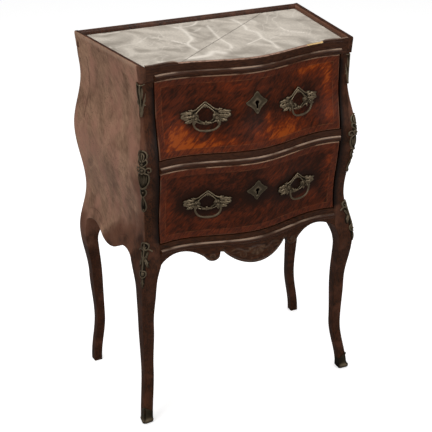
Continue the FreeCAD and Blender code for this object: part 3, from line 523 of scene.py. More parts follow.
def flame_veneer(colours):
    """Figured rosewood, sliced, laid and French polished: dark red ground, flame where the mark is high."""
    f = Finish("rosewood_flame_veneer_french_polished",
               {"Roughness": 0.36, "Coat Weight": 0.04, "Coat Roughness": 0.2, "Specular IOR Level": 0.16},
               # the real pores are 0.2 mm wide; drawn ten times coarser so that they are seen at all
               {"pores": Pattern(2.0, 4.0, (1.0, 1.0, 6.0), (0.0, 0.75, 0.0), 0.4),
                "stroke": Pattern(5.5, 4.0, (1.0, 1.0, 3.6), (0.0, 0.9, 0.0), 0.8),
                "cloud": Pattern(24.0, 4.0, (1.0, 1.0, 1.8), (0.0, 0.9, 0.0), 1.2),
                "wear": Pattern(18.0, 2.0), "rubbing": Pattern(45.0), "polish": Pattern(40.0)})
    # the plain ground is calm, and the flame breaks up
    broken = f.combine("ADD", ("cloud", 0.3, 0.72, -0.28, 0.28), ("stroke", 0.3, 0.7, -0.34, 0.34))
    broken = f.combine("MULTIPLY", ("mark", 0.05, 0.6, 0.45, 1.0), (broken, -1.0, 1.0, -1.0, 1.0))
    figure = f.combine("ADD", ("mark", -1.0, 2.0, -1.0, 2.0), (broken, -1.0, 1.0, -1.0, 1.0),
                       ("pores", 0.3, 0.7, -0.2, 0.2))
    colour = f.add("ShaderNodeValToRGB", {"Fac": figure}, stops=(
        (0.0, colours.veneer_dark), (0.36, colours.veneer_mid), (0.7, linear("#6a2706")),
        (1.0, colours.veneer_bright)))
    # darker round the fittings, where the drawer fronts lower the mark
    colour = f.layer(colour, "#170c06", ("mark", -0.45, 0.12, 0.75, 0.0))
    sizes = bpy.context.scene.commode_sizes
    band, half_line = sizes.band / MM, sizes.string / MM / 2.0
    crossband = f.layer("#3b1a0f", "#652c15", ("pores", 0.35, 0.65))
    colour = f.layer(colour, crossband, ("border", band - 0.2, band + 0.2, 0.7, 0.0))
    colour = f.layer(colour, colours.stringing, ("wear", 0.42, 0.6, 0.05, 0.5),
                     ("border", band - half_line - 0.1, band - half_line),
                     ("border", band + half_line, band + half_line + 0.1, 1.0, 0.0))
    # pale worn edge with a painted highlight, brightest on the upward-facing top edge
    colour = f.layer(colour, "#c09a7c", ("border", 0.6, 2.2, 1.0, 0.0), ("rubbing", 0.4, 0.55, 0.15, 1.0),
                     ("up", 0.1, 0.4, 0.2, 1.0))
    return f.finish(colour, "pores", 0.12, 0.15, ("polish", 0.3, 0.7, 0.28, 0.44))


def side_veneer(colours):
    """Sun-bleached veneer with worn polish: pale grey-brown grain up the sides, darker down the legs."""
    f = Finish("bleached_rosewood_veneer_worn_polish", {"Roughness": 0.42, "Specular IOR Level": 0.2},
               # pores drawn coarser than they are, so that they are seen
               {"grain": Pattern(2.4, 4.0, (1.0, 1.0, 5.0), (-0.5, 0.0, 0.0), 0.4),
                "sweep": Pattern(11.0, 4.0, (1.0, 1.0, 3.0), (-0.95, 0.0, 0.0), 1.2),
                "cloud": Pattern(60.0, 3.0, (1.0, 1.0, 1.6), (0.4, 0.0, 0.0), 0.8),
                "flush": Pattern(38.0, 2.0, (1.0, 1.0, 1.5)), "pits": Pattern(3.5, 2.0),
                "stain": Pattern(50.0, 2.0), "streak": Pattern(22.0), "fading": Pattern(34.0, 4.0),
                "wear": Pattern(45.0, 2.0)})
    blend = f.combine("ADD", ("grain", 0.3, 0.7, -0.22, 0.22), ("cloud", 0.3, 0.7, 0.2, 0.8),
                      ("sweep", 0.3, 0.7, -0.2, 0.2))
    pale = f.layer(colours.side_dark, colours.side_light, (blend, 0.0, 1.0))
    pale = f.layer(pale, "#966a58", ("flush", 0.45, 0.68, 0.0, 0.7))
    # pits and stains of use
    pale = f.layer(pale, "#3c261b", ("pits", 0.6, 0.7, 0.0, 0.6), ("stain", 0.42, 0.58))
    dark = f.layer(colours.leg_dark, colours.leg_light, ("grain", 0.35, 0.7))
    dark = f.layer(dark, "#4f2916", ("streak", 0.45, 0.7, 0.0, 0.4))
    fade = f.combine("ADD", ("mark", 0.0, 2.0, 0.0, 2.0), ("fading", 0.3, 0.7, -0.18, 0.3))
    colour = f.layer(dark, pale, (fade, 0.0, 0.95), ("mark", 0.0, 0.12))
    # where it is half bleached it keeps its red
    colour = f.layer(colour, "#5f3826", (fade, 0.08, 0.35, 0.0, 0.6), (fade, 0.5, 0.85, 1.0, 0.0))
    # painted shade: near black on the posts' inner edges in the gap next to the drawers
    colour = f.layer(colour, "#140a05", ("mark", -0.6, -0.25, 1.0, 0.0))
    # dark line, broken by wear
    colour = f.layer(colour, "#3a1d14", ("border", 2.8, 2.9, 1.0, 0.0), ("wear", 0.38, 0.52, 0.35, 0.95))
    # edges rubbed down to pale wood, which on the rims' top arris is also a painted highlight
    colour = f.layer(colour, colours.worn_edge_and_highlight, ("mark", 1.0, 1.4, 0.0, 0.8))
    return f.finish(colour, "grain", 0.15, 0.2, ("cloud", 0.3, 0.7, 0.34, 0.5))


def dark_hardwood(colours):
    """Stained and waxed hardwood: nearly black brown, rubbed lighter along its crests, with a painted
    highlight on their upward faces.
    """
    f = Finish("stained_hardwood_waxed", {"Roughness": 0.36, "Specular IOR Level": 0.2},
               {"grain": Pattern(2.2, 4.0, (8.0, 1.0, 1.0), distortion=0.4),
                "wear": Pattern(24.0, 3.0, (3.0, 1.0, 1.0)), "splinters": Pattern(7.0)})
    colour = f.layer("#29150b", "#472817", ("grain", 0.3, 0.72))
    # rubbed pale crests and a painted highlight on the upward-facing faces of beads, rails and lips
    colour = f.layer(colour, colours.worn_edge_and_highlight, ("up", 0.5, 0.88), ("wear", 0.4, 0.56, 0.12, 0.9),
                     ("mark", 0.0, 1.0))
    # old breaks have gone pinkish, the fresh one is yellow
    torn = f.layer(colours.bare_wood, "#a37f6c", ("border", 0.15, 0.45))
    ragged = f.combine("ADD", ("border", 0.0, 2.0, 0.0, 2.0), ("splinters", 0.35, 0.65, -0.15, 0.3))
    colour = f.layer(colour, torn, (ragged, 0.65, 0.9, 1.0, 0.0))
    return f.finish(colour, "grain", 0.15, 0.2)


def carved_hardwood(colours):
    """Carved and stained hardwood: dark recesses, brown rubbed relief."""
    f = Finish("carved_hardwood_stained", {"Roughness": 0.4, "Specular IOR Level": 0.2},
               {"grain": Pattern(2.5, 4.0, (6.0, 1.0, 1.0), distortion=0.4), "wear": Pattern(10.0)})
    colour = f.layer(colours.leg_dark, colours.leg_light, ("grain", 0.3, 0.72))
    colour = f.layer(colour, "#6f5843", ("mark", 0.0, 1.0), ("wear", 0.36, 0.62, 0.1, 0.75))
    return f.finish(colour, "grain", 0.15, 0.2)


def veined_marble(colours):
    """Sawn and polished marble, dulled by use: warm grey, clouded, with wandering cream veins."""
    f = Finish("grey_marble_cream_veins_dull_polish", {"Roughness": 0.36, "Specular IOR Level": 0.35},
               {"cloud": Pattern(40.0, 6.0, (1.0, 1.7, 1.0), (0.0, 0.0, 0.6), 1.0), "speckle": Pattern(4.0),
                "wander": Pattern(85.0, 3.0, (1.0, 2.2, 1.0), (0.0, 0.0, -0.5), 0.7),
                "fading": Pattern(40.0), "breaks": Pattern(12.0, 4.0)})
    colour = f.layer(colours.marble_grey, "#d6ccbe", ("cloud", 0.32, 0.62))
    colour = f.layer(colour, "#8f887e", ("speckle", 0.42, 0.72, 0.0, 0.34))
    colour = f.layer(colour, colours.marble_vein, ("wander", 0.484, 0.497, 0.0, 0.4),
                     ("wander", 0.503, 0.516, 1.0, 0.0), ("fading", 0.38, 0.6))
    colour = f.layer(colour, colours.marble_vein, ("mark", 0.0, 1.0), ("breaks", 0.28, 0.5, 0.6, 1.0))
    # dirt along the break
    colour = f.layer(colour, "#4c443a", ("border", 0.3, 2.2, 0.55, 0.0))
    return f.finish(colour, "speckle", 0.08, 0.2, ("cloud", 0.3, 0.7, 0.28, 0.42))


def patinated_bronze(colours):
    """Cast bronze with a dark green-brown patina, rubbed through on its crests."""
    f = Finish("cast_bronze_dark_patina", {"Roughness": 0.42, "Metallic": 0.7, "Specular IOR Level": 0.3},
               {"grit": Pattern(1.2, 4.0), "tarnish": Pattern(9.0)})
    colour = f.layer(colours.bronze_dark, "#312819", ("tarnish", 0.3, 0.7))
    colour = f.layer(colour, colours.bronze_light, ("mark", 0.3, 0.95), ("grit", 0.25, 0.6, 0.6, 1.0))
    return f.finish(colour, "grit", 0.25, 0.25, ("mark", 0.0, 1.0, 0.55, 0.33))


def inner_wood(colours):
    """Planed softwood, never polished, darkened by age: straight pale grain."""
    f = Finish("planed_softwood_unfinished", {"Roughness": 0.7},
               {"grain": Pattern(4.0, 4.0, (16.0, 1.0, 1.0), distortion=0.4), "stain": Pattern(80.0)})
    colour = f.layer("#6f5033", colours.inner_wood, ("grain", 0.3, 0.72))
    colour = f.layer(colour, "#4d3826", ("stain", 0.4, 0.75, 0.0, 0.5))
    return f.finish(colour, "grain", 0.2, 0.3)


def black_iron(colours):
    """Forged and filed iron, blackened: dull grey-black with a fine grit."""
    f = Finish("forged_iron_blackened", {"Roughness": 0.5, "Metallic": 0.85}, {"grit": Pattern(2.0, 4.0)})
    colour = f.layer("#24211e", colours.iron, ("grit", 0.3, 0.7))
    return f.finish(colour, "grit", 0.3, 0.2)


MAKERS = {
    "flame": flame_veneer, "side": side_veneer, "dark": dark_hardwood, "carved": carved_hardwood,
    "marble": veined_marble, "bronze": patinated_bronze, "inner": inner_wood, "iron": black_iron,
}


@cache
def material(key):
    """The material of a key, made the first time that a piece asks for it."""
    return MAKERS[key](bpy.context.scene.commode_colours)


# Pieces

SIDES = (("left", -1.0), ("right", 1.0))
DRAWERS = ("upper_drawer", "lower_drawer")


def front_heights(drawer):
    """Foot and top of a drawer front."""
    return [corner[2] for corner in box_mm(f"{drawer}_front")]


def mirrored(points, side):
    """Points of the right half of the case, put on one of its sides."""
    return points * np.array((side, 1.0, 1.0))


def bleached_mark(points, z, fade):
    """Share of bleached veneer on a post: whole on the outer side face, little in front, none low down."""
    plan = plan_at(z)
    depth = BACK_Y - points[:, 1]
    dark_corner = np.interp(z, (560.0, 650.0), (0.0, 9.0))
    on_side = np.abs(np.abs(points[:, 0]) - side_half(depth, plan)) < 1.6
    bleached = ramp(z, *fade) ** 1.4
    return np.where(on_side & (depth < plan[CORNER_DEPTH] - dark_corner), bleached, 0.05 * bleached)


def front_post_mark(mark, points, z):
    """A front post darkens towards its arris, is bleached once in front and is painted black with shade next
    to the drawers.
    """
    forward = ramp(BACK_Y - points[:, 1], POST_BACK, plan_at(z)[CORNER_DEPTH] - 10.0)
    mark = mark * (1.0 - 0.65 * ramp(z, 600.0, 520.0) * forward)
    mark = np.where(mark < 0.06, mark + 0.4 * ridge(z - 585.0, 32.0), mark)
    # painted shade: the inner edge beside the drawers gets a mark below zero, which the material makes near
    # black
    beside_drawers = np.interp(z, (385.0, 400.0, 700.0, 708.0), (0.0, 1.0, 1.0, 0.0))
    across = np.abs(points[:, 0])
    return np.where(across < across.min() + 3.2, mark * (1.0 - beside_drawers) - 0.6 * beside_drawers, mark)


def leg_flare(z):
    """How far a leg has widened into its post at a height, and the rounding of its lesser corners."""
    flare = ramp(z, FLARE_FOOT, SHOULDER) ** 2.4
    return flare, 1.2 * (1 - flare) + 0.25


def front_leg_ring(z, arris):
    """Ring of the right front leg at a height."""
    plan = plan_at(z)
    corner_half, corner_depth, width = plan[[CORNER_HALF, CORNER_DEPTH, LEG_WIDTH]]
    flare, soft = leg_flare(z)
    inner_x = (corner_half - width) * (1 - flare) + OPENING * flare
    inner_depth = (corner_depth - width) * (1 - flare) + POST_BACK * flare
    # two close corners behind the arris keep the bleached face apart from the dark one
    edge = [(side_half(depth, plan), BACK_Y - depth) for depth in (corner_depth - 8.2, corner_depth - 9.8)]
    corners = [(inner_x, front_at(inner_x, z)[1]), (corner_half, BACK_Y - corner_depth), *edge,
               (side_half(inner_depth, plan), BACK_Y - inner_depth), (inner_x, BACK_Y - inner_depth)]
    return rounded_ring(corners, (soft + 1.3 * flare, arris, 0.0, 0.0, soft, soft))


def back_leg_ring(z, arris):
    """Ring of the right back leg at a height."""
    plan = plan_at(z)
    back_half, width = plan[[BACK_HALF, LEG_WIDTH]]
    flare, soft = leg_flare(z)
    inner_x = (back_half - width) * (1 - flare) + BACK_POST_HALF * flare
    inner_depth = width * (1 - flare) + BACK_POST * flare
    corners = [(inner_x, BACK_Y - inner_depth), (side_half(inner_depth, plan), BACK_Y - inner_depth),
               (back_half, BACK_Y), (inner_x, BACK_Y)]
    return rounded_ring(corners, (soft, soft, arris * 0.6, soft))


# Rows of legs: rings, foot, and heights between which the bleached veneer fades out downwards.
LEGS = {"front": (front_leg_ring, 2.0, (355.0, 470.0)), "back": (back_leg_ring, 0.0, (265.0, 400.0))}


class COMMODE_OT_legs(bpy.types.Operator):
    """Posts that run down into cabriole legs"""
    bl_idname = "commode.legs"
    bl_label = "Posts and legs"

    def execute(self, context):
        arris = context.scene.commode_sizes.arris / MM
        for row, (ring_of, foot, fade) in LEGS.items():
            levels = np.concatenate((np.linspace(foot, FLARE_FOOT - 6.0, 50),
                                     np.linspace(FLARE_FOOT, SHOULDER, 24),
                                     np.linspace(SHOULDER + 6.0, CASE_TOP, 56)))
            rings, marks = [], []
            for z in levels:
                ring = stacked(*ring_of(z, arris).T, z)
                mark = bleached_mark(ring, z, fade)
                rings.append(ring)
                marks.append(front_post_mark(mark, ring, z) if row == "front" else mark)
            for name, side in SIDES:
                node = f"{row}_{name}_leg"
                form = Form().loft(mirrored(np.array(rings), side), np.array(marks))
                form.piece(f"{node}_veneered", "side", node)
        return {"FINISHED"}


def side_edge(depth):
    """Lower edge of a side panel over its depth: a lobe between two arches."""
    middle = (POST_BACK + BACK_POST) / 2.0
    arch, turn = DRAWER_FLOOR - 28.5, DRAWER_FLOOR - 39.0
    front_turn, back_turn = (middle + 40.0, turn), (middle - 31.0, turn)
    front = arc_height(depth, (POST_BACK, SHOULDER), (middle + 80.0, arch), front_turn)
    back = arc_height(depth, (BACK_POST, SHOULDER), (middle - 62.0, arch), back_turn)
    lobe = arc_height(depth, front_turn, (middle, DRAWER_FLOOR - 49.5), back_turn)
    return np.select((depth > front_turn[0], depth < back_turn[0]), (front, back), lobe)


SIDE_WIDTH = 16.0          # thickness of a side where it is narrowest
SPLIT_DEPTH, SPLIT_MIDDLE, SPLIT_HALF = 44.0, 640.0, 60.0      # open joint in the side veneer
LINE_RISE = 22.0           # dark line over the lower edge of a side
INNER_PLAN = np.array((208.5, 262.5, 236.5))               # the narrowest plan, which the inner face keeps


class COMMODE_OT_sides(bpy.types.Operator):
    """Bombé side panels with a scalloped lower edge"""
    bl_idname = "commode.sides"
    bl_label = "Side panels"

    def execute(self, context):
        depth = np.union1d(np.linspace(BACK_POST, POST_BACK, 67),
                           SPLIT_DEPTH + np.array((-1.6, -0.6, 0.0, 0.6, 1.6)))
        rise = np.concatenate(((0.0, 0.002, 0.006, 0.012), np.linspace(0.02, 1.0, 90)))
        low = side_edge(depth)
        z = low + (CASE_TOP - low) * rise[:, None]
        above = z - low
        outer = side_half(depth, plan_at(z)) - set_back(above, 1.5)
        inner = np.minimum(side_half(depth, INNER_PLAN) - SIDE_WIDTH, outer - 4.0)
        # bleached high up, less so towards the front and the lower edge
        forward = ((depth - BACK_POST) / (POST_BACK - BACK_POST)) ** 2
        mark = np.clip((z - 314.0 - 70.0 * forward) / (45.0 + 45.0 * forward), 0.3, 1.0) ** 1.2
        mark = mark * (1.0 - 0.12 * forward)
        split = np.abs(depth - SPLIT_DEPTH) + np.clip(np.abs(z - SPLIT_MIDDLE) - SPLIT_HALF, 0.0, FAR)
        border = np.minimum(np.abs(above - LINE_RISE), split) + 2.0
        for name, side in SIDES:
            faces = [mirrored(stacked(x, BACK_Y - depth, z), side) for x in (outer, inner)]
            Form().slab(*faces, mark, border).piece(f"{name}_side_veneer", "side", f"{name}_side_panel")
        return {"FINISHED"}


APRON_WIDTH = 24.0         # thickness of the apron
LOBE_FOOT = DRAWER_FLOOR - 61.5
HOOK_MIDDLE = 86.0


def apron_edge(x):
    """Lower edge of the apron: arch, hooked lobe, notch and the deep lobe in the middle."""
    across = np.abs(x)
    hook_start = (99.0, DRAWER_FLOOR - 41.5)
    hook_tip = (73.0, DRAWER_FLOOR - 41.5)
    notch = (65.0, DRAWER_FLOOR - 32.0)
    arch = arc_height(across, (OPENING, SHOULDER), (150.0, DRAWER_FLOOR - 24.0), hook_start)
    hook = arc_height(across, hook_start, (HOOK_MIDDLE, DRAWER_FLOOR - 49.5), hook_tip)
    slope = np.interp(across, (notch[0], notch[0] + 6.0, hook_tip[0]), (notch[1], notch[1], hook_tip[1]))
    lobe = arc_height(across, (-notch[0], notch[1]), (0.0, LOBE_FOOT), notch)
    return np.select((across >= hook_start[0], across >= hook_tip[0], across >= notch[0]),
                     (arch, hook, slope), lobe)


def apron_relief(x, z, above):
    """Carving of the apron: a rim, a garland, scrolls and a shell in the middle, a scroll on each hook."""
    across = np.abs(x)
    rim = 1.5 * ridge(above - 3.2, 1.5) * ramp(across, 112.0, 98.0)
    field = ramp(above, 5.0, 8.0) * ramp(z, DRAWER_FLOOR - 20.5, DRAWER_FLOOR - 22.5)
    up = z - LOBE_FOOT
    garland = 1.1 * ridge(up - 29.0 - 3.4 * np.cos(across * 0.155), 1.5) * ramp(across, 58.0, 50.0)
    turn = np.arctan2(x, 33.0 - up)
    radius = np.hypot(x, 33.0 - up)
    shell = 1.5 * (0.3 + 0.7 * np.cos(4.5 * turn) ** 2) * ramp(radius, 19.0, 16.0) * ramp(radius, 4.0, 7.0)
    shell = shell * (np.abs(turn) < 1.5)
    curl = np.hypot(across - 29.0, up - 20.0)
    scrolls = 1.1 * ridge(curl - 5.6, 1.3) + 1.2 * ridge(curl, 2.0)
    tail = 0.9 * ridge(up - 26.0 + 0.16 * (across - 34.0), 1.3) * ((across > 34.0) & (across < 52.0))
    beads = sum(1.2 * ridge(np.hypot(across - u, up - v), 1.9) for u, v in ((0.0, 8.0), (13.0, 10.5)))
    hook = np.hypot(across - HOOK_MIDDLE, z - (DRAWER_FLOOR - 39.5))
    hooks = (1.2 * ridge(hook - 4.4, 1.3) + 1.2 * ridge(hook, 1.8)) * ramp(above, 1.0, 2.5)
    return rim + np.maximum.reduce((garland, shell, scrolls, tail, beads)) * field + hooks


class COMMODE_OT_apron(bpy.types.Operator):
    """Apron with hooked lobes and a carved lobe in the middle"""
    bl_idname = "commode.apron"
    bl_label = "Apron"

    def execute(self, context):
        # close lines where the outline turns sharply, at the notch and the tip of the hook
        half = np.concatenate((np.linspace(0.0, 64.0, 58), (64.7, 65.3), np.linspace(66.2, 70.4, 5),
                               (71.0, 71.4, 72.0, 72.6, 73.0), np.linspace(74.0, 98.5, 24),
                               np.linspace(100.0, OPENING, 44)))
        x = np.concatenate((-half[:0:-1], half))
        low = apron_edge(x)
        rise = np.concatenate(((0.0, 0.012, 0.03), np.linspace(0.06, 1.0, 34)))
        z = low + (DRAWER_FLOOR - low) * rise[:, None]
        relief = apron_relief(x, z, z - low)
        front = front_at(x, z, relief - set_back(z - low, 1.2))
        back = front_at(x, z, -APRON_WIDTH)
        form = Form().slab(front, back, np.clip(relief / 2.2, 0.0, 0.8), back_mark=0.0)
        form.piece("carved_apron", "carved", "apron")
        return {"FINISHED"}


def rail_with_mortise(front, back, bolt, mark, border):
    """A rail from its front face to its back, with a mortise in its underside for a lock bolt."""
    form = Form()
    low, high = box_mm(bolt)
    face = front.copy()
    face[..., 1] = np.clip(low[1] - BOLT_ROOM, front[..., 1] + 3.0, back[..., 1] - 1.0)
    form.slab(front, face, mark, border)
    left, right = (np.argmin(np.abs(front[0, :, 0] - x)) for x in (low[0] - BOLT_ROOM, high[0] + BOLT_ROOM))
    top = np.argmin(np.abs(front[:, 0, 2] - high[2] - BOLT_TRAVEL - BOLT_ROOM))
    rear = face.copy()
    rear[..., 1] = np.clip(high[1] + BOLT_ROOM, face[..., 1], back[..., 1] - 0.5)
    between = slice(left, right + 1)
    for near, *part in ((face, slice(None), slice(left + 1)), (face, slice(None), slice(right, None)),
                        (face, slice(top, None), between), (rear, slice(None), between)):
        form.slab(near[tuple(part)], back[tuple(part)])
    return form


def rail_grid(half, rows, bolt):
    """Lines across and up a rail, with lines on the edges of the mortise for a lock bolt."""
    low, high = box_mm(bolt)
    x = np.union1d(np.linspace(-half, half, 121), (low[0] - BOLT_ROOM, high[0] + BOLT_ROOM))
    return np.meshgrid(x, np.union1d(rows, high[2] + BOLT_TRAVEL + BOLT_ROOM))


MIDDLE_RAIL_ROWS = (MIDDLE_RAIL_FOOT, 541.9, 543.0, 548.0, 553.0, 558.0, 563.0, 564.5, MIDDLE_RAIL_TOP)
# Section of the top rail: height, and how far it stands out from the plan of the rim.
TOP_RAIL_SECTION = ((710.0, -0.8), (710.4, -0.3), (711.2, 0.0), (713.0, 0.0), (717.0, -0.6), (721.0, -0.4),
                    (722.5, -0.6), (727.0, -0.5), (731.5, -0.3), (732.1, -0.3), (732.3, -0.3), (733.5, -0.1),
                    (734.7, 0.0), (735.2, -0.2), (TORN_TOP, -0.8))
TOP_RAIL_HALF = 206.0
# Borders that the dark wood shows as a fresh break, as an old one and as whole.
FRESH, OLD, WHOLE = 0.0, 0.6, 1.5


class COMMODE_OT_rails(bpy.types.Operator):
    """Rails over and between the drawers"""
    bl_idname = "commode.rails"
    bl_label = "Rails"

    def execute(self, context):
        bolt = "lower_drawer_lock_bolt"
        x, z = rail_grid(OPENING, MIDDLE_RAIL_ROWS, bolt)
        front = front_at(x, z, -set_back(np.minimum(z - MIDDLE_RAIL_FOOT, MIDDLE_RAIL_TOP - z), 1.0))
        back = front.copy()
        back[..., 1] = RAIL_BACK_Y
        rail_with_mortise(front, back, bolt, 0.0, FAR).piece("middle_rail_veneered", "dark", "middle_rail")

        bolt = "upper_drawer_lock_bolt"
        rows, hollow = np.array(TOP_RAIL_SECTION).T
        x, z = rail_grid(TOP_RAIL_HALF, rows, bolt)
        chips = 0.5 * np.sin(x * 0.31) * np.sin(x * 0.083 + 1.0) * ramp(z, 733.0, 735.0)
        front = front_at(x, z, np.interp(z, rows, hollow) + np.minimum(chips, 0.0), RIM_PLAN)
        back = front_at(x, z, 0.0, RIM_PLAN)
        width = np.where(z > MARBLE_TOP + 0.2, TORN_WIDTH, EDGE_WIDTH)
        back[..., 1] = np.where(z > MARBLE_BOTTOM, back[..., 1] + width, RAIL_BACK_Y)
        torn = np.sin(x * 0.9) + np.sin(x * 2.3 + 1.0)
        raw = np.where((x > 122.0 + 5.0 * torn) & (x < LIP_RIGHT), FRESH,
                       np.where((x > -139.0) & (x < LIP_RIGHT), OLD, WHOLE))
        border = np.where(z > TORN_TOP - 0.5, raw, WHOLE)
        rail_with_mortise(front, back, bolt, 0.3, border).piece("top_rail_moulded", "dark", "top_rail")
        return {"FINISHED"}


# Section of the rim: inset from its outer face and height.
RIM_SECTION = ((2.3, 710), (1.9, 716), (1.2, 724), (0.4, 731), (0.1, 735), (0.2, 738), (0.9, 739.4),
               (2.2, 740), (6.4, 740), (7.4, 739.6), (8, 738.8), (8.4, 738.2), (9.6, 737.8),
               (10.9, 737.2), (11.7, 736.2), (12, 734.8), (12, 710))
# Stubs of the lip: side, inner end, length of the splinter past it, mark and border of the break.
LIPS = {"left": (-1.0, LIP_LEFT, 5.0, 1.0, OLD), "right": (1.0, LIP_RIGHT, 30.0, 0.4, FRESH)}
LIP_OUTER = 200.3
LIP_WIDTH = 5.4
# Section of the lip: share of its height, and how far its edges are rounded off there.
LIP_SECTION = ((0, 0), (0.4, 0), (0.75, 0), (0.9, 0.3), (0.97, 0.9), (1, 1.8))


class COMMODE_OT_rims(bpy.types.Operator):
    """Raised rim round the marble and what is left of the front lip"""
    bl_idname = "commode.rims"
    bl_label = "Rims and lip"

    def execute(self, context):
        inset, z = np.array(RIM_SECTION).T
        end = BACK_Y - front_at(RIM_PLAN[CORNER_HALF] - inset, z, 0.0, RIM_PLAN)[:, 1]
        depths = np.linspace(0.0, 1.0, 40)[:, None]
        at = end * depths
        ring = stacked(side_half(at, RIM_PLAN) - inset, BACK_Y - at, z)
        # pale outside, pale with a painted highlight along the top arris, dark on top and round the front
        # corner, paler again on the inner bead
        mark = np.select((inset > 11.9, z < 734.0, inset < 1.0, inset < 8.2), (0.3, 1.0, 1.12, 0.04), 0.45)
        mark = mark * (1.0 - 0.9 * ramp(depths, 0.95, 0.965))
        for name, side in SIDES:
            Form().loft(mirrored(ring, side), mark).piece(f"{name}_rim_moulded", "side", f"{name}_rim")
        half = side_half(0.0, RIM_PLAN) - 2.4
        rings = [stacked(x, BACK_Y - inset, z) for x in np.linspace(-half, half, 60)]
        # pale line near the top of the back rim: painted highlight
        mark = np.where((inset > 1.0) & (inset < 3.0), 0.6, 0.03)
        Form().loft(rings, mark).piece("back_rim_moulded", "side", "back_rim")

        rise, round_off = np.array(LIP_SECTION).T[..., None]
        for name, (side, inner, splinter, mark, broken) in LIPS.items():
            across = np.linspace(inner - splinter, LIP_OUTER, 70)
            whole = ramp(across, inner - 5.0, inner + 6.0)
            ragged = 1.2 * np.sin(across * 0.9) + 0.8 * np.sin(across * 2.3)
            share = np.clip(whole**0.7 + (0.07 + 0.05 * ragged) * (1 - whole), 0.03, 1.0)
            z = LIP_BASE + (TOTAL_HEIGHT - LIP_BASE) * share * rise
            faces = [mirrored(front_at(across, z, out, RIM_PLAN), side)
                     for out in (-round_off, 0.6 * round_off - LIP_WIDTH)]
            form = Form().slab(*faces, mark, np.where(whole < 0.3, broken, WHOLE))
            form.piece(f"{name}_lip_worn", "dark", f"front_lip_{name}")
        return {"FINISHED"}


# Main veins of the marble: points across and back, and half width.
VEINS = ((((-51, 122), (-44, 97), (-48, 56), (-54, 28), (-73, 2), (-73, -42)), 3.4),
         (((11, 103), (4, 62), (-3, 23), (-5, -7), (-5, -36), (-11, -58)), 2.4),
         (((74, 124), (77, 93), (74, 60), (68, 42), (77, 15), (69, -23), (71, -54), (65, -91)), 3.2),
         (((133, 32), (136, -3), (157, -24)), 1.8), (((26, -47), (58, -28), (69, -23)), 1.8),
         (((-106, -81), (-71, -80), (-50, -63), (-36, -79)), 7),
         (((-198, 135), (-185, 134), (-159, 137)), 2.5),
         (((8, 144), (-11, 120), (-37, 115), (-51, 122)), 2.5), (((-90, 35), (-78, 9), (-73, 2)), 2.5))
SLAB_GAP = 0.3             # play of the marble in its rim
SLAB_BACK_Y = BACK_Y - RIM_WIDTH - SLAB_GAP
BREAK_AT = (10.0, 22.0)
BREAK_SLOPE = math.tan(math.radians(40.7))


def slab_half(y):
    """Half width of the marble slab at a place between front and back."""
    return side_half(BACK_Y - y, RIM_PLAN) - RIM_WIDTH - SLAB_GAP


def slab_front(x):
    """Front edge of the slab, a little chipped where the lip is lost."""
    bare = np.clip((140.0 - np.abs(x + 4.0)) / 8.0, 0.0, 1.0)
    chips = np.maximum(np.sin(x * 0.21) * np.sin(x * 0.57 + 0.4) + 0.5 * np.sin(x * 1.7), 0.0)
    return front_at(x, 0.0, -(EDGE_WIDTH + SLAB_GAP), RIM_PLAN)[..., 1] + 0.8 * bare * chips


def slab_break(x):
    """Break across the slab."""
    jagged = 0.35 * np.sin(x * 0.19) + 0.25 * np.sin(x * 0.53 + 1.0)
    return BREAK_AT[1] + (x - BREAK_AT[0]) * BREAK_SLOPE + jagged


def meeting(share, edge):
    """Where an edge of the slab crosses the lines at some shares of its width."""
    y = np.zeros_like(share)
    for _ in range(12):
        y = edge(share * slab_half(y))
    return y


class COMMODE_OT_marble(bpy.types.Operator):
    """Inset marble slab, broken across into two pieces"""
    bl_idname = "commode.marble"
    bl_label = "Marble top"

    def execute(self, context):
        half_gap = context.scene.commode_sizes.crack / MM / 2.0 / math.cos(math.atan(BREAK_SLOPE))
        share = np.linspace(-1.0, 1.0, 4001)
        front, crack = meeting(share, slab_front), meeting(share, slab_break)
        first = share[np.argmin(np.abs(front - crack))]
        last = share[np.argmin(np.abs(SLAB_BACK_Y - crack))]
        ends = 1.0 - np.array((0.0, 0.3, 0.7, 1.3)) / slab_half(0.0)
        columns = np.unique(np.concatenate((np.linspace(-0.99, 0.99, 130), ends, -ends, (first, last))))
        ends = np.array((0.0, 0.0015, 0.004, 0.008))
        rows = np.concatenate((ends, np.linspace(0.015, 0.985, 76), 1.0 - ends[::-1]))[:, None]
        paths = [(smooth_line(points, 60), width) for points, width in VEINS]
        for name, s in (("left", columns[columns <= last]), ("right", columns[columns >= first])):
            low, crack = meeting(s, slab_front), meeting(s, slab_break)
            if name == "left":
                low = np.maximum(low, crack + half_gap)
                high = np.maximum(SLAB_BACK_Y, low)
            else:
                high = np.minimum(SLAB_BACK_Y, np.maximum(crack - half_gap, low))
            y = low + (high - low) * rows
            x = s * slab_half(y)
            inside = np.minimum(np.minimum(y - low, high - y), (1.0 - np.abs(s)) * slab_half(y))
            top, bottom = stacked(x, y, MARBLE_TOP - set_back(inside, 1.0)), stacked(x, y, MARBLE_BOTTOM)
            vein = np.zeros_like(x)
            for path, width in paths:
                away = np.min(np.hypot(x[..., None] - path[:, 0], y[..., None] - path[:, 1]), axis=-1)
                vein = np.maximum(vein, ridge(away, width))
            form = Form().slab(top, bottom, vein, np.abs(y - slab_break(x)))
            form.piece(f"marble_{name}_slab", "marble", f"marble_{name}", SOFT_CREASE)
        return {"FINISHED"}


SWEEP_INPUTS = {"Line": "Geometry", "Radius": "Float", "Sides": "Int", "Finish": "Material"}


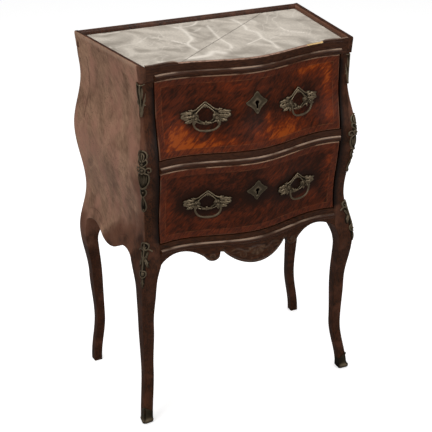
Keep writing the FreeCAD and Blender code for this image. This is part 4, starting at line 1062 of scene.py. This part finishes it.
def sweep_tree():
    """Geometry nodes that sweep a round section along a line of points."""
    tree = bpy.data.node_groups.new("swept_bead", "GeometryNodeTree")
    for name, kind in SWEEP_INPUTS.items():
        tree.interface.new_socket(name, in_out="INPUT", socket_type=f"NodeSocket{kind}")
    tree.interface.new_socket("Bead", in_out="OUTPUT", socket_type="NodeSocketGeometry")
    line, radius, sides, finish = (add(tree, "NodeGroupInput", output=name) for name in SWEEP_INPUTS)
    curve = add(tree, "GeometryNodeMeshToCurve", {"Mesh": line})
    section = add(tree, "GeometryNodeCurvePrimitiveCircle", {"Resolution": sides, "Radius": radius})
    swell = add(tree, "GeometryNodeInputNamedAttribute", {"Name": "swell"})
    swept = add(tree, "GeometryNodeCurveToMesh", {"Curve": curve, "Profile Curve": section, "Scale": swell,
                                                  "Fill Caps": True})
    whole = add(tree, "GeometryNodeRealizeInstances", {"Geometry": swept})
    dressed = add(tree, "GeometryNodeSetMaterial", {"Geometry": whole, "Material": finish})
    add(tree, "NodeGroupOutput", {"Bead": dressed})
    return tree


def swept(name, paths, radius, sides, finish, node, mark):
    """A piece of beads along paths, each its points and the swell of the section; marked along its width."""
    tree = bpy.data.node_groups.get("swept_bead") or sweep_tree()
    points = np.concatenate([path for path, _ in paths])
    ends = np.cumsum([len(path) for path, _ in paths]) - 1
    edges = [(i, i + 1) for i in range(len(points)) if i not in ends]
    mesh = bpy.data.meshes.new(f"{name}_line")
    mesh.from_pydata((points * MM).tolist(), edges, [])
    swells = [np.broadcast_to(swell, len(path)) for path, swell in paths]
    write_values(mesh, "swell", np.concatenate(swells))
    guide = bpy.data.objects.new(f"{name}_line", mesh)
    bpy.context.scene.collection.objects.link(guide)
    modifier = guide.modifiers.new("sweep", "NODES")
    modifier.node_group = tree
    sockets = {item.name: item.identifier for item in tree.interface.items_tree if item.in_out == "INPUT"}
    modifier[sockets["Radius"]] = radius * MM
    modifier[sockets["Sides"]] = sides
    modifier[sockets["Finish"]] = material(finish)
    bead = bpy.data.meshes.new_from_object(guide.evaluated_get(bpy.context.evaluated_depsgraph_get()))
    bpy.data.objects.remove(guide)
    bead.name = name
    across = np.array([vertex.co.x for vertex in bead.vertices]) / MM
    write_values(bead, "mark", np.interp(across, *mark))
    write_values(bead, "border", np.full(len(across), FAR))
    settle(name, bead, node, SOFT_CREASE)


# Wear along a bead, on the wooden beads with a painted highlight: places across and marks.
PATCHY = ((-186, -150, -140, -55, -45, 30, 40, 118, 130), (1, 1, 0.2, 0.3, 1, 0.9, 0.2, 0.2, 0.9))
EVEN = ((0.0,), (1.0,))
HANDLED = ((0.0,), (0.62,))
# Mouldings: height of the crest, plan that they follow, and wear with painted highlight.
MOULDINGS = {"top": (717.0, RIM_PLAN, PATCHY), "middle": (548.0, None, EVEN), "lower": (379.0, None, EVEN)}


class COMMODE_OT_mouldings(bpy.types.Operator):
    """Half-round mouldings with a fillet, that follow the serpentine front"""
    bl_idname = "commode.mouldings"
    bl_label = "Mouldings"

    def execute(self, context):
        bead = context.scene.commode_sizes.bead / MM
        x = np.linspace(-DRAWER_HALF + 0.2, DRAWER_HALF - 0.2, 120)
        for name, (z, plan, mark) in MOULDINGS.items():
            paths = [(front_at(x, z, 0.2, plan), 1.0), (front_at(x, z - 5.2, 0.0, plan), 0.3)]
            swept(f"{name}_moulding_bead", paths, bead, 16, "dark", f"{name}_moulding", mark)
        return {"FINISHED"}


# Bright patches in the figure of each drawer front: width, height over its foot, half sizes and strength.
FIGURE = {
    "upper_drawer": ((-150, 36, 28, 34, 0.75), (-85, 16, 60, 14, 0.62), (56, 20, 44, 18, 0.85),
                     (122, 124, 32, 13, 0.7), (162, 95, 14, 40, 0.45), (23, 50, 8, 12, 0.4),
                     (165, 35, 12, 24, 0.4), (-40, 122, 34, 12, 0.25), (-20, 92, 30, 16, 0.2),
                     (80, 50, 30, 14, 0.2)),
    "lower_drawer": ((-168, 70, 16, 60, 0.34), (170, 100, 12, 40, 0.4), (-60, 30, 60, 22, 0.14),
                     (40, 104, 22, 12, 0.28), (100, 40, 50, 18, 0.12)),
}
# Figure of the plain ground of each front, and how much darker it is round the fittings.
GROUND = {"upper_drawer": (0.22, 0.25), "lower_drawer": (0.14, 0.5)}
DARKENING_REACH = 0.62                  # how far round them, as a share of a fitting's size
FRONT_HALF = DRAWER_HALF - 0.8      # leaves the dark line that is seen round a drawer
HOLE_HALF, HOLE_RISE = 4.5, 7.0     # half width and half height of the hole behind the keyhole
HOLE_DROP = 3.5                     # its middle, under the keyhole's
LINE_STEP = 3.0


class COMMODE_OT_drawers(bpy.types.Operator):
    """Serpentine drawer fronts with a crossband"""
    bl_idname = "commode.drawers"
    bl_label = "Drawer fronts"

    def execute(self, context):
        sizes = context.scene.commode_sizes
        radius, band, string = sizes.edge / MM, sizes.band / MM, sizes.string / MM
        insets = (0.0, 0.2, 0.6, 1.2, 1.8, 2.4, 4.5, 8.0, band - string, band - string / 2,
                  band + string / 2, band + string, band + 4.0)
        for drawer in DRAWERS:
            ground, darkening = GROUND[drawer]
            low, high = front_heights(drawer)
            x = lines(-FRONT_HALF, FRONT_HALF, insets, LINE_STEP)
            for edge in (-HOLE_HALF, HOLE_HALF):
                x[np.argmin(np.abs(x - edge))] = edge
            rows = lines(low, high, insets, LINE_STEP)
            wide, z = np.meshgrid(x, rows)
            from_side = FRONT_HALF - np.abs(wide)
            from_end = np.minimum(z - low, high - z)
            front = front_at(wide, z, -np.hypot(set_back(from_side, radius), set_back(from_end, radius)))
            back = front.copy()
            back[..., 1] = DRAWER_REAR_Y
            up = (rows[:-1] + rows[1:]) / 2.0 - (low + high) / 2.0 - KEYHOLE_RISE
            across = (x[:-1] + x[1:]) / 2.0
            hole = (np.abs(across) < HOLE_HALF) & (np.abs(up + HOLE_DROP)[:, None] < HOLE_RISE)
            figure = np.full(z.shape, ground)
            for px, pz, sx, sz, strength in FIGURE[drawer]:
                figure += strength * ridge(wide - px, sx) * ridge(z - low - pz, sz)
            for fitting in ("left_plate", "right_plate", "escutcheon"):
                near, far = box_mm(f"{drawer}_{fitting}")
                # darker round each fitting, centred a little under its middle
                middle, reach = (near + far) / 2.0, (far - near) * DARKENING_REACH
                away = ((wide - middle[0]) / reach[0]) ** 2 + ((z - middle[2] + 5.0) / reach[2]) ** 2
                figure -= darkening * np.exp(-(away**2))
            form = Form().slab(front, back, figure, np.minimum(from_side, from_end), ~hole, back_mark=0.1,
                               back_border=FAR)
            form.piece(f"{drawer}_front_veneered", "flame", f"{drawer}_front")
        return {"FINISHED"}


HANDLE_X = 93.0                     # middle of a handle
HANDLE_ALONG = (0.96505, 0.26207)   # direction of the front there


def handle_place(level_z, side):
    """Maps the flat of a handle, along and up from its middle and out, onto a drawer front."""
    along, out = HANDLE_ALONG

    def place(points):
        seat = front_at(HANDLE_X + points[:, 0] * along, level_z + points[:, 1])
        seat[:, 0] += out * points[:, 2]
        seat[:, 1] -= along * points[:, 2]
        return mirrored(seat, side)

    return place


# Right half of a back plate's outline, half sizes of its opening, and its section from there outwards:
# share of the way and height.
PLATE = ((0, 25), (7, 19), (14.2, 13), (22, 9), (28.5, 8.2), (34, 6.6), (40.4, 4.6), (47, -1.2), (41, -7),
         (34, -10.2), (28.5, -12), (22.5, -9.6), (16.5, -13.5), (8, -16.4), (0, -18))
PLATE_OPENING = (14.5, 12.0)
PLATE_SECTION = ((0, 0.5), (0.1, 1.5), (0.24, 1.7), (0.42, 1), (0.6, 0.9), (0.76, 1.5), (0.88, 2.1),
                 (0.96, 1.6), (1, 0.4))
# Ridges of its gable.
PLATE_RIDGES = (((0, 24.4), (8.2, 17.8), (16.4, 11.2), (26, 8)),
                ((0, 19.6), (6.6, 14), (12.6, 8.6), (17, 3.4)))
# Leaves of a wing: heading, length, width, rise, curl and foot.
WING_LEAVES = ((82, 25, 8.5, 4.2, 14, (22.5, 4)), (96, 25.5, 8, 4.6, -6, (22, -1.5)),
               (116, 20, 8, 4, -18, (21, -6)), (64, 11, 5.5, 3.4, 34, (21, 7.5)),
               (150, 10, 6, 3.4, 40, (19.5, -8)))
# Leaves over and under the opening: heading, length, width and foot.
MIDDLE_LEAVES = ((180, 9, 6, (0, 21.5)), (160, 6.5, 3.4, (3.2, 18)), (-160, 6.5, 3.4, (-3.2, 18)),
                 (90, 11, 5, (1, -14.5)), (-90, 11, 5, (-1, -14.5)), (0, 7, 6, (0, -16.5)))
# Rosette and post that carry an eye: radius and height.
POST_PROFILE = ((6.4, CAST_FOOT), (6.4, 2.2), (5.8, 3.2), (4.4, 3.6), (3.6, 4.4), (3, 5.4), (2.5, 7.2),
                (2.4, 9), (2.6, 9.4))
POST_AT = (18.65, -3.0)
EYE_OUT, EYE_RADIUS, EYE_HALF_WIDTH = 12.0, 2.95, 1.9


def dress_plate(form):
    """Back plate of a handle: pierced gable frame, leafy wings, rosettes and the posts with their eyes."""
    outer = smooth_loop(PLATE + tuple((-x, z) for x, z in reversed(PLATE[1:-1])), 132)
    turn = np.arctan2(outer[:, 1], outer[:, 0])
    gable = 2.0 * np.maximum(np.sin(turn), 0.0) ** 3
    inner = stacked(PLATE_OPENING[0] * np.cos(turn), PLATE_OPENING[1] * np.sin(turn) - 0.5 + gable)
    form.pierced(inner, outer, PLATE_SECTION, lambda height: (height - 0.8) / 1.3)
    for side in (-1.0, 1.0):
        for points in PLATE_RIDGES:
            form.loft(tube(smooth_line([(side * u, v, 2.2) for u, v in points], 16), 1.05), 0.9)
        for heading, long, wide, high, curl, (u, v) in WING_LEAVES:
            form.leaf((side * u, v), side * heading, long, wide, high, side * curl, lobes=3, lift=0.4)
        u, v = side * POST_AT[0], POST_AT[1]
        form.loft(lathe((u, v), POST_PROFILE), 0.55)
        rings = []
        section = circle(8)[:, None]
        for angle in circle(20):
            out = np.array((0.0, math.sin(angle), math.cos(angle)))
            rings.append((u, v, EYE_OUT) + EYE_RADIUS * out + np.cos(section) * out
                         + np.sin(section) * (EYE_HALF_WIDTH, 0.0, 0.0))
        form.loft(rings, 0.6, closed=True)
    for heading, long, wide, foot in MIDDLE_LEAVES:
        form.leaf(foot, heading, long, wide, 3.2, lobes=2, lift=0.5, rows=11)


# Left half of a bail from its pin to its middle: along and up from the pivot.
BAIL = ((-24, 1.6), (-24.3, -3), (-23.6, -10), (-20, -17), (-13, -21.4), (-6, -22.8), (0, -23.2))
PIN_RADIUS, PIN_OUTER, PIN_INNER = 1.5, 24.4, 14.8


class COMMODE_OT_handles(bpy.types.Operator):
    """Back plates and drop bails of the handles"""
    bl_idname = "commode.handles"
    bl_label = "Handles"

    def execute(self, context):
        rod = context.scene.commode_sizes.rod / MM
        joints = {joint["name"]: joint for joint in frame["joints"]}
        bow = smooth_line(BAIL + tuple((-a, b) for a, b in reversed(BAIL[:-1])), 61)
        share = np.abs(np.linspace(-1.0, 1.0, len(bow)))
        swell = 1.0 + 0.22 * ridge(share, 0.12) + 0.18 * ridge(share - 0.98, 0.05)
        for drawer in DRAWERS:
            level_z = sum(front_heights(drawer)) / 2.0
            for name, side in SIDES:
                form = Form(handle_place(level_z, side))
                dress_plate(form)
                node = f"{drawer}_{name}_plate"
                form.piece(f"{node}_cast", "bronze", node, SOFT_CREASE)

                body = f"{drawer}_{name}_bail"
                swing = joints[f"{body}_swing"]
                pivot, along = np.array(swing["pos_m"]) / MM, -np.array(swing["axis"])
                paths = [(pivot + bow[:, :1] * along + bow[:, 1:] * (0.0, 0.0, 1.0), swell)]
                for end in (-1.0, 1.0):
                    pin = pivot + np.linspace(PIN_OUTER, PIN_INNER, 4)[:, None] * end * along
                    paths.append((pin, PIN_RADIUS / rod))
                swept(f"{body}_rod", paths, rod, 14, "bronze", body, HANDLED)
        return {"FINISHED"}


# Quarter of an escutcheon's outline from one tip on: share of the quarter and reach; and its section.
LOZENGE = ((0, 1), (0.13, 0.86), (0.24, 0.74), (0.36, 0.66), (0.5, 0.66), (0.64, 0.66), (0.76, 0.74),
           (0.87, 0.86))
LOZENGE_TIP = (22.0, 21.5)
LOZENGE_SECTION = ((0, 1.4), (0.08, 2.1), (0.2, 2.1), (0.34, 1.5), (0.6, 1.35), (0.8, 1.5), (0.9, 1.9),
                   (0.97, 1.5), (1, 0.3))
KEYHOLE_RADIUS, KEYHOLE_SLOT_HALF, KEYHOLE_SLOT_LENGTH = 3.6, 1.8, 11.0


class COMMODE_OT_escutcheons(bpy.types.Operator):
    """Lozenge escutcheons with a keyhole"""
    bl_idname = "commode.escutcheons"
    bl_label = "Escutcheons"

    def execute(self, context):
        turn = circle(120)
        slot = np.minimum(KEYHOLE_SLOT_HALF / np.maximum(np.abs(np.cos(turn)), 1e-6),
                          KEYHOLE_SLOT_LENGTH / np.maximum(np.abs(np.sin(turn)), 1e-6))
        keyhole = np.maximum(KEYHOLE_RADIUS, np.where(np.sin(turn) < 0.0, slot, 0.0))
        inner = stacked(keyhole * np.cos(turn), keyhole * np.sin(turn))
        angle, reach = np.array([((quarter + t) * math.pi / 2.0, reach)
                                 for quarter in range(4) for t, reach in LOZENGE]).T
        outer = smooth_loop(stacked(LOZENGE_TIP[0] * reach * np.cos(angle),
                                    LOZENGE_TIP[1] * reach * np.sin(angle)), len(turn))
        for drawer in DRAWERS:
            level_z = sum(front_heights(drawer)) / 2.0 + KEYHOLE_RISE

            def place(points):
                seat = front_at(points[:, 0], level_z + points[:, 1])
                seat[:, 1] -= points[:, 2]
                return seat

            form = Form(place)
            form.pierced(inner, outer, LOZENGE_SECTION, lambda height: 0.42 + 0.3 * (height - 1.35))
            form.piece(f"{drawer}_escutcheon_cast", "bronze", f"{drawer}_escutcheon", SOFT_CREASE)
        return {"FINISHED"}


MOUNT_BEND = 6.0           # how softly a mount bends round the corner
MOUNT_SEAT = 0.9           # how far it is let into it


def arris_place(side):
    """Maps the flat of a corner mount, across, up and out, round the front corner of the case."""
    def place(points):
        plan = plan_at(points[:, 1])
        across = points[:, 0] / math.sqrt(2.0)
        # the mount bends back on both sides of the arris
        bend = np.sqrt(points[:, 0] ** 2 + MOUNT_BEND) - math.sqrt(MOUNT_BEND)
        out = (points[:, 2] - bend - MOUNT_SEAT) / math.sqrt(2.0)
        return stacked(side * (plan[:, CORNER_HALF] + across + out),
                       BACK_Y - plan[:, CORNER_DEPTH] + across - out, points[:, 1])

    return place


# Ground of each corner mount: height and half width.
MOUNT_GROUNDS = {
    "upper": ((647, 0.6), (656, 2), (668, 3.6), (680, 5.8), (692, 7.4), (706, 8.4)),
    "middle": ((466, 1), (472, 3.8), (482, 4.2), (492, 3.2), (501, 2), (509, 5), (516, 4.4), (522, 5),
               (530, 8.2), (540, 9.6), (548, 8.4), (556, 7), (563, 6), (572, 6), (582, 6.5), (589, 3),
               (591, 0.6)),
    "knee": ((316, 0.6), (326, 2.4), (338, 5), (346, 6.4), (356, 4.2), (370, 3.6), (384, 5), (394, 6),
             (403, 1)),
}
# Raised strands of each corner mount, from the arris to one side: points across and up, and radius.
MOUNT_STRANDS = {
    "upper": ((((0, 704.4), (4.5, 704.9), (9.4, 707)), 1.2),
              (((9.2, 706), (9, 695), (7.8, 684), (5, 673), (3.2, 664), (2.2, 655), (0.4, 648)), 1.2),
              (((0, 704), (0, 686), (0, 668), (0, 650)), 1.1),
              (((4.8, 677), (8.2, 675), (8.8, 670), (6, 667.8), (4.6, 670.5)), 1)),
    "middle": ((((2, 571), (7, 575), (8.6, 582), (5.4, 588.4), (0.8, 590.6)), 1),
               (((1, 571), (3.8, 577), (3.6, 583), (0.8, 587)), 0.9),
               (((0, 562), (5.2, 564), (8.6, 568.6), (7, 573.6), (3.6, 572)), 1),
               (((0, 560.6), (3.8, 559), (5.6, 555), (3.8, 551), (0, 549.4)), 1.2),
               (((5.4, 556.4), (9.6, 558.6), (13, 556.4), (13, 551.4), (10, 550.2), (9, 553.2)), 1.1),
               (((4.4, 549.6), (9.4, 546), (10.6, 538), (9, 529), (5, 522), (0, 519.6)), 1.1),
               (((0, 518.6), (3.4, 519.2), (6.8, 521.6)), 1.3),
               (((4.4, 517), (6, 511), (4.4, 505), (1.2, 501)), 1),
               (((1.2, 501), (3.4, 492), (4.9, 482), (4.5, 474), (2.2, 469), (0, 467.4)), 1)),
    "knee": ((((0, 402.6), (4, 401.4), (7.4, 397), (6.8, 391), (3.2, 389), (1.4, 392.4), (3.6, 394.8)), 1.2),
             (((5.4, 391), (9.6, 388), (13.4, 384.4)), 1), (((0, 400), (0, 384), (0, 366), (0, 350)), 1.5),
             (((0.4, 352.4), (4.6, 350.6), (6.4, 345.4), (4.4, 340.4), (0.4, 338.6)), 1.1)),
}
# Leaves of each corner mount: half spread, foot height, heading, length, width, rise, curl and lobes.
MOUNT_LEAVES = {
    "upper": ((4.2, 703, 184, 28, 4.6, 1.8, 6, 0), (0, 668, 180, 18, 5, 3, 0, 2)),
    "middle": ((0, 572, 0, 17, 4.6, 3.2, 0, 0), (0, 547, 180, 25, 3.4, 3, 0, 0),
               (3.4, 547.5, 180, 24, 3.2, 2.8, 4, 0), (6.6, 545, 180, 19, 3, 2.4, 12, 0),
               (0, 499, 180, 20, 2.6, 2.4, 0, 0)),
    "knee": ((2, 374, 150, 20, 6, 3.2, 24, 3), (2, 372, 30, 15, 5, 3.2, -24, 2),
             (0, 338, 180, 22, 7, 3.4, 0, 3)),
}
# Bosses of each corner mount: height, half width, half height and rise.
MOUNT_BOSSES = {
    "upper": ((662, 2.2, 2.4, 3),),
    "middle": ((555, 3.4, 3.6, 3.8), (566.5, 2.4, 2.8, 3.2), (510.5, 2, 2, 2.6), (500.5, 1.9, 2, 2.6),
               (471.5, 2, 2.6, 2.8)),
    "knee": ((345.6, 4, 4.6, 4), (330, 1.8, 2.4, 3)),
}
# How rubbed each mount is.
MOUNT_BRIGHT = {"upper": 1.1, "middle": 0.95, "knee": 0.95}


class COMMODE_OT_mounts(bpy.types.Operator):
    """Leafy bronze mounts on the front corners"""
    bl_idname = "commode.mounts"
    bl_label = "Corner mounts"

    def execute(self, context):
        for key, bright in MOUNT_BRIGHT.items():
            heights, halves = np.array(MOUNT_GROUNDS[key]).T
            levels = np.linspace(heights[0], heights[-1], 48)
            s = np.linspace(-1.0, 1.0, 13)
            u = np.interp(levels, heights, halves)[:, None] * s
            faces = [stacked(u, levels[:, None], w) for w in (0.9 - 0.5 * np.abs(s) ** 8, -0.6)]
            for name, side in SIDES:
                form = Form(arris_place(side)).slab(*faces, 0.1, back_mark=0.0)
                for points, radius in MOUNT_STRANDS[key]:
                    line = smooth_line(points, 5 * len(points))
                    for sign in ((-1.0, 1.0) if line[:, 0].any() else (1.0,)):
                        form.loft(tube(stacked(sign * line[:, 0], line[:, 1], 1.9), radius), 0.64 * bright)
                for spread, foot, heading, long, wide, high, curl, lobes in MOUNT_LEAVES[key]:
                    for sign in ((-1.0, 1.0) if spread else (1.0,)):
                        form.leaf((sign * spread, foot), sign * heading, long, wide, high, sign * curl,
                                  lobes, bright=0.65 * bright)
                for height, *half in MOUNT_BOSSES[key]:
                    form.loft(ellipsoid_bead(height, half), 0.55 * bright)
                node = f"{key}_mount_{name}"
                form.piece(f"{node}_cast", "bronze", node, SOFT_CREASE)
        return {"FINISHED"}


REEDS = 11
CAP_HEIGHT, CAP_LEAF = 24.0, 16.0      # toe cap at its inner corner, and how far its leaf stands above that


class COMMODE_OT_sabots(bpy.types.Operator):
    """Bronze toe caps with a rolled toe and a leaf up the arris"""
    bl_idname = "commode.sabots"
    bl_label = "Toe caps"

    def execute(self, context):
        square = rounded_ring(((0.0, 0.0), (1.0, 0.0), (1.0, 1.0), (0.0, 1.0)), (0.15, 0.22, 0.15, 0.1), 9)
        # 1 on the arris, 0 on the inner corner
        towards = (1.0 + square[:, 0] - square[:, 1]) / 2.0
        rings, marks = [], []
        for share in np.linspace(0.0, 1.0, 60):
            z = share * (CAP_HEIGHT + CAP_LEAF * towards**3)
            corner_half, corner_depth, width = plan_at(z)[:, [CORNER_HALF, CORNER_DEPTH, LEG_WIDTH]].T
            proud = 0.5 + 0.5 * (1.0 - share)
            low = stacked(corner_half - width - 0.2, BACK_Y - corner_depth - proud)
            high = stacked(corner_half + proud, BACK_Y - corner_depth + width + 0.2)
            ring = low + (high - low) * square
            middle = (low + high) / 2.0
            away = np.linalg.norm(ring - middle, axis=1)
            outwards = (ring - middle) / away[:, None]
            # the toe swells into a round knob, tucked under at the floor
            knob = ridge(z - 6.0, 5.2)
            tuck = -3.2 * np.maximum(1.0 - z / 4.5, 0.0) ** 2
            reach = away * (1.0 - 0.8 * knob) + 0.8 * knob * (width / 2.0 + 4.6) + tuck
            reed = np.cos(REEDS * np.arctan2(outwards[:, 1], outwards[:, 0]))
            scroll = ridge(z - 8.5, 3.4) * ridge(towards - 0.72, 0.13)
            tip = ridge(z - 35.0, 3.6) * towards**5
            push = 3.4 * (knob * towards**2 + tip) / math.sqrt(2.0)
            reach = reach + 0.45 * reed * ramp(z, 11.0, 19.0) * towards + 1.4 * scroll
            ring = middle + outwards * reach[:, None] + stacked(push, -push)
            rings.append(np.column_stack((ring, z)))
            # painted highlights on the two scrolls of the toe, over its rubbed bronze; painted shade on the
            # foot below 3.5 mm, next to the floor
            mark = 0.24 + 0.1 * (1.0 + reed + knob) * towards + 0.75 * scroll + 0.1 * tip - 0.2 * (z < 3.5)
            marks.append(np.clip(mark, 0.0, 1.0))
        for name, side in SIDES:
            form = Form().loft(mirrored(np.array(rings), side), np.array(marks))
            form.piece(f"{name}_sabot_cast", "bronze", f"{name}_sabot")
        return {"FINISHED"}


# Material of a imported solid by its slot.
SLOT_FINISHES = {
    "inner_wood": "inner", "lock_iron": "iron", "patinated_bronze": "bronze", "marble": "marble",
    "rosewood_veneer": "flame", "side_veneer": "side", "dark_hardwood": "dark",
}


class COMMODE_OT_inside(bpy.types.Operator):
    """Finishes of the boards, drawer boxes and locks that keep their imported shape"""
    bl_idname = "commode.inside"
    bl_label = "Boards, boxes and locks"

    def execute(self, context):
        for node, slot in SLOTS.items():
            solid = frame["nodes"][node].data
            solid.materials.clear()
            solid.materials.append(material(SLOT_FINISHES[slot]))
        return {"FINISHED"}


# Photographed view: place of the lens in metres, turns of the camera, focal length and square film.
LENS_AT = (-0.7602, -1.6383, 1.2461)
AZIMUTH, ELEVATION, ROLL = -24.308, 26.015, -0.546
FOCAL, FILM = 82.33, 36.0
FLOOR_HALF = 6.0           # metres
# Lamps, in metres and watts: place, target, size and power.
LAMPS = {
    "left_softbox": ((-2.2, -0.9, 1.9), (0.0, 0.0, 0.45), 1.6, 26.0),
    "top_softbox": ((0.2, 0.3, 2.6), (0.0, 0.0, 0.6), 1.8, 22.0),
    "front_softbox": ((0.9, -2.4, 1.5), (0.0, 0.0, 0.4), 1.4, 16.0),
}


def put(scene, name, data):
    """Link a new object of the stage to the scene."""
    item = bpy.data.objects.new(name, data)
    scene.collection.objects.link(item)
    return item


def lay_floor(scene):
    """White paper under the commode, as bright as the ground of the photo."""
    mesh = bpy.data.meshes.new("floor")
    corners = [(FLOOR_HALF * x, FLOOR_HALF * y, 0.0) for x, y in ((-1, -1), (1, -1), (1, 1), (-1, 1))]
    mesh.from_pydata(corners, [], [(0, 1, 2, 3)])
    paper = bpy.data.materials.new("white_paper_floor")
    paper.use_nodes = True
    tree = paper.node_tree
    sockets = tree.nodes["Principled BSDF"].inputs
    sockets["Roughness"].default_value = 0.9
    sockets["Specular IOR Level"].default_value = 0.0
    sockets["Emission Color"].default_value = grey(1.0)
    # the polish mirrors a dim room, so the floor is darker in it
    mirrored_ray = add(tree, "ShaderNodeLightPath", output="Is Glossy Ray")
    shade = add(tree, "ShaderNodeMix", {0: mirrored_ray, 6: grey(0.9), 7: grey(0.2)}, 2, data_type="RGBA")
    tree.links.new(shade, sockets["Base Color"])
    seen = add(tree, "ShaderNodeLightPath", output="Is Camera Ray")
    lift = add(tree, "ShaderNodeMath", {0: seen, 1: 0.55}, operation="MULTIPLY")
    tree.links.new(lift, sockets["Emission Strength"])
    mesh.materials.append(paper)
    put(scene, "floor", mesh)


def light_world(scene):
    """White where the camera sees it, dim where polish mirrors it."""
    scene.world = bpy.data.worlds.new("studio")
    scene.world.use_nodes = True
    tree = scene.world.node_tree
    sockets = tree.nodes["Background"].inputs
    sockets["Color"].default_value = grey(1.0)
    mirrored_ray = add(tree, "ShaderNodeLightPath", output="Is Glossy Ray")
    dim = add(tree, "ShaderNodeMapRange", {"Value": mirrored_ray, "To Min": 0.4, "To Max": 0.12})
    seen = add(tree, "ShaderNodeLightPath", output="Is Camera Ray")
    through = add(tree, "ShaderNodeLightPath", output="Is Transmission Ray")
    bright = add(tree, "ShaderNodeMath", {0: seen, 1: through}, operation="MAXIMUM")
    level = add(tree, "ShaderNodeMapRange", {"Value": bright, "To Min": dim, "To Max": 1.0})
    tree.links.new(level, sockets["Strength"])


class COMMODE_OT_stage(bpy.types.Operator):
    """White floor, soft lamps and the photographed view"""
    bl_idname = "commode.stage"
    bl_label = "Stage"

    def execute(self, context):
        scene = context.scene
        scene.view_settings.view_transform = "Standard"
        lay_floor(scene)
        light_world(scene)
        for name, (place, target, size, power) in LAMPS.items():
            lamp = bpy.data.lights.new(name, "AREA")
            lamp.shape = "SQUARE"
            lamp.size = size
            lamp.energy = power
            light = put(scene, name, lamp)
            light.location = place
            light.rotation_mode = "QUATERNION"
            light.rotation_quaternion = (Vector(target) - Vector(place)).to_track_quat("-Z", "Y")

        lens = bpy.data.cameras.new("photo_view")
        lens.lens = FOCAL
        lens.sensor_width = FILM
        a, e, r = math.radians(AZIMUTH), math.radians(ELEVATION), math.radians(ROLL)
        back = Vector((math.sin(a) * math.cos(e), -math.cos(a) * math.cos(e), math.sin(e)))
        right = Vector((math.cos(a), math.sin(a), 0.0))
        up = back.cross(right)
        right, up = math.cos(r) * right + math.sin(r) * up, math.cos(r) * up - math.sin(r) * right
        camera = put(scene, "photo_view", lens)
        camera.matrix_world = Matrix.Translation(LENS_AT) @ Matrix((right, up, back)).transposed().to_4x4()
        scene.camera = camera
        return {"FINISHED"}


STEPS = (COMMODE_OT_inside, COMMODE_OT_legs, COMMODE_OT_sides, COMMODE_OT_apron, COMMODE_OT_rails,
         COMMODE_OT_rims, COMMODE_OT_marble, COMMODE_OT_mouldings, COMMODE_OT_drawers, COMMODE_OT_handles,
         COMMODE_OT_escutcheons, COMMODE_OT_mounts, COMMODE_OT_sabots, COMMODE_OT_stage)


class COMMODE_PT_panel(bpy.types.Panel):
    """Steps, sizes and colours of the commode"""
    bl_idname = "COMMODE_PT_panel"
    bl_label = "Commode"
    bl_space_type = "VIEW_3D"
    bl_region_type = "UI"
    bl_category = "Commode"

    def draw(self, context):
        for group in (context.scene.commode_sizes, context.scene.commode_colours):
            for key in group.__annotations__:
                self.layout.prop(group, key)
        for step in STEPS:
            self.layout.operator(step.bl_idname)


CLASSES = (CommodeSizes, CommodeColours) + STEPS + (COMMODE_PT_panel,)


def register():
    for kind in CLASSES:
        bpy.utils.register_class(kind)
    bpy.types.Scene.commode_sizes = PointerProperty(type=CommodeSizes)
    bpy.types.Scene.commode_colours = PointerProperty(type=CommodeColours)


def unregister():
    del bpy.types.Scene.commode_colours
    del bpy.types.Scene.commode_sizes
    for kind in reversed(CLASSES):
        bpy.utils.unregister_class(kind)


def main():
    register()
    for step in STEPS:
        group, name = step.bl_idname.split(".")
        getattr(getattr(bpy.ops, group), name)()


if __name__ == "__main__":
    main()
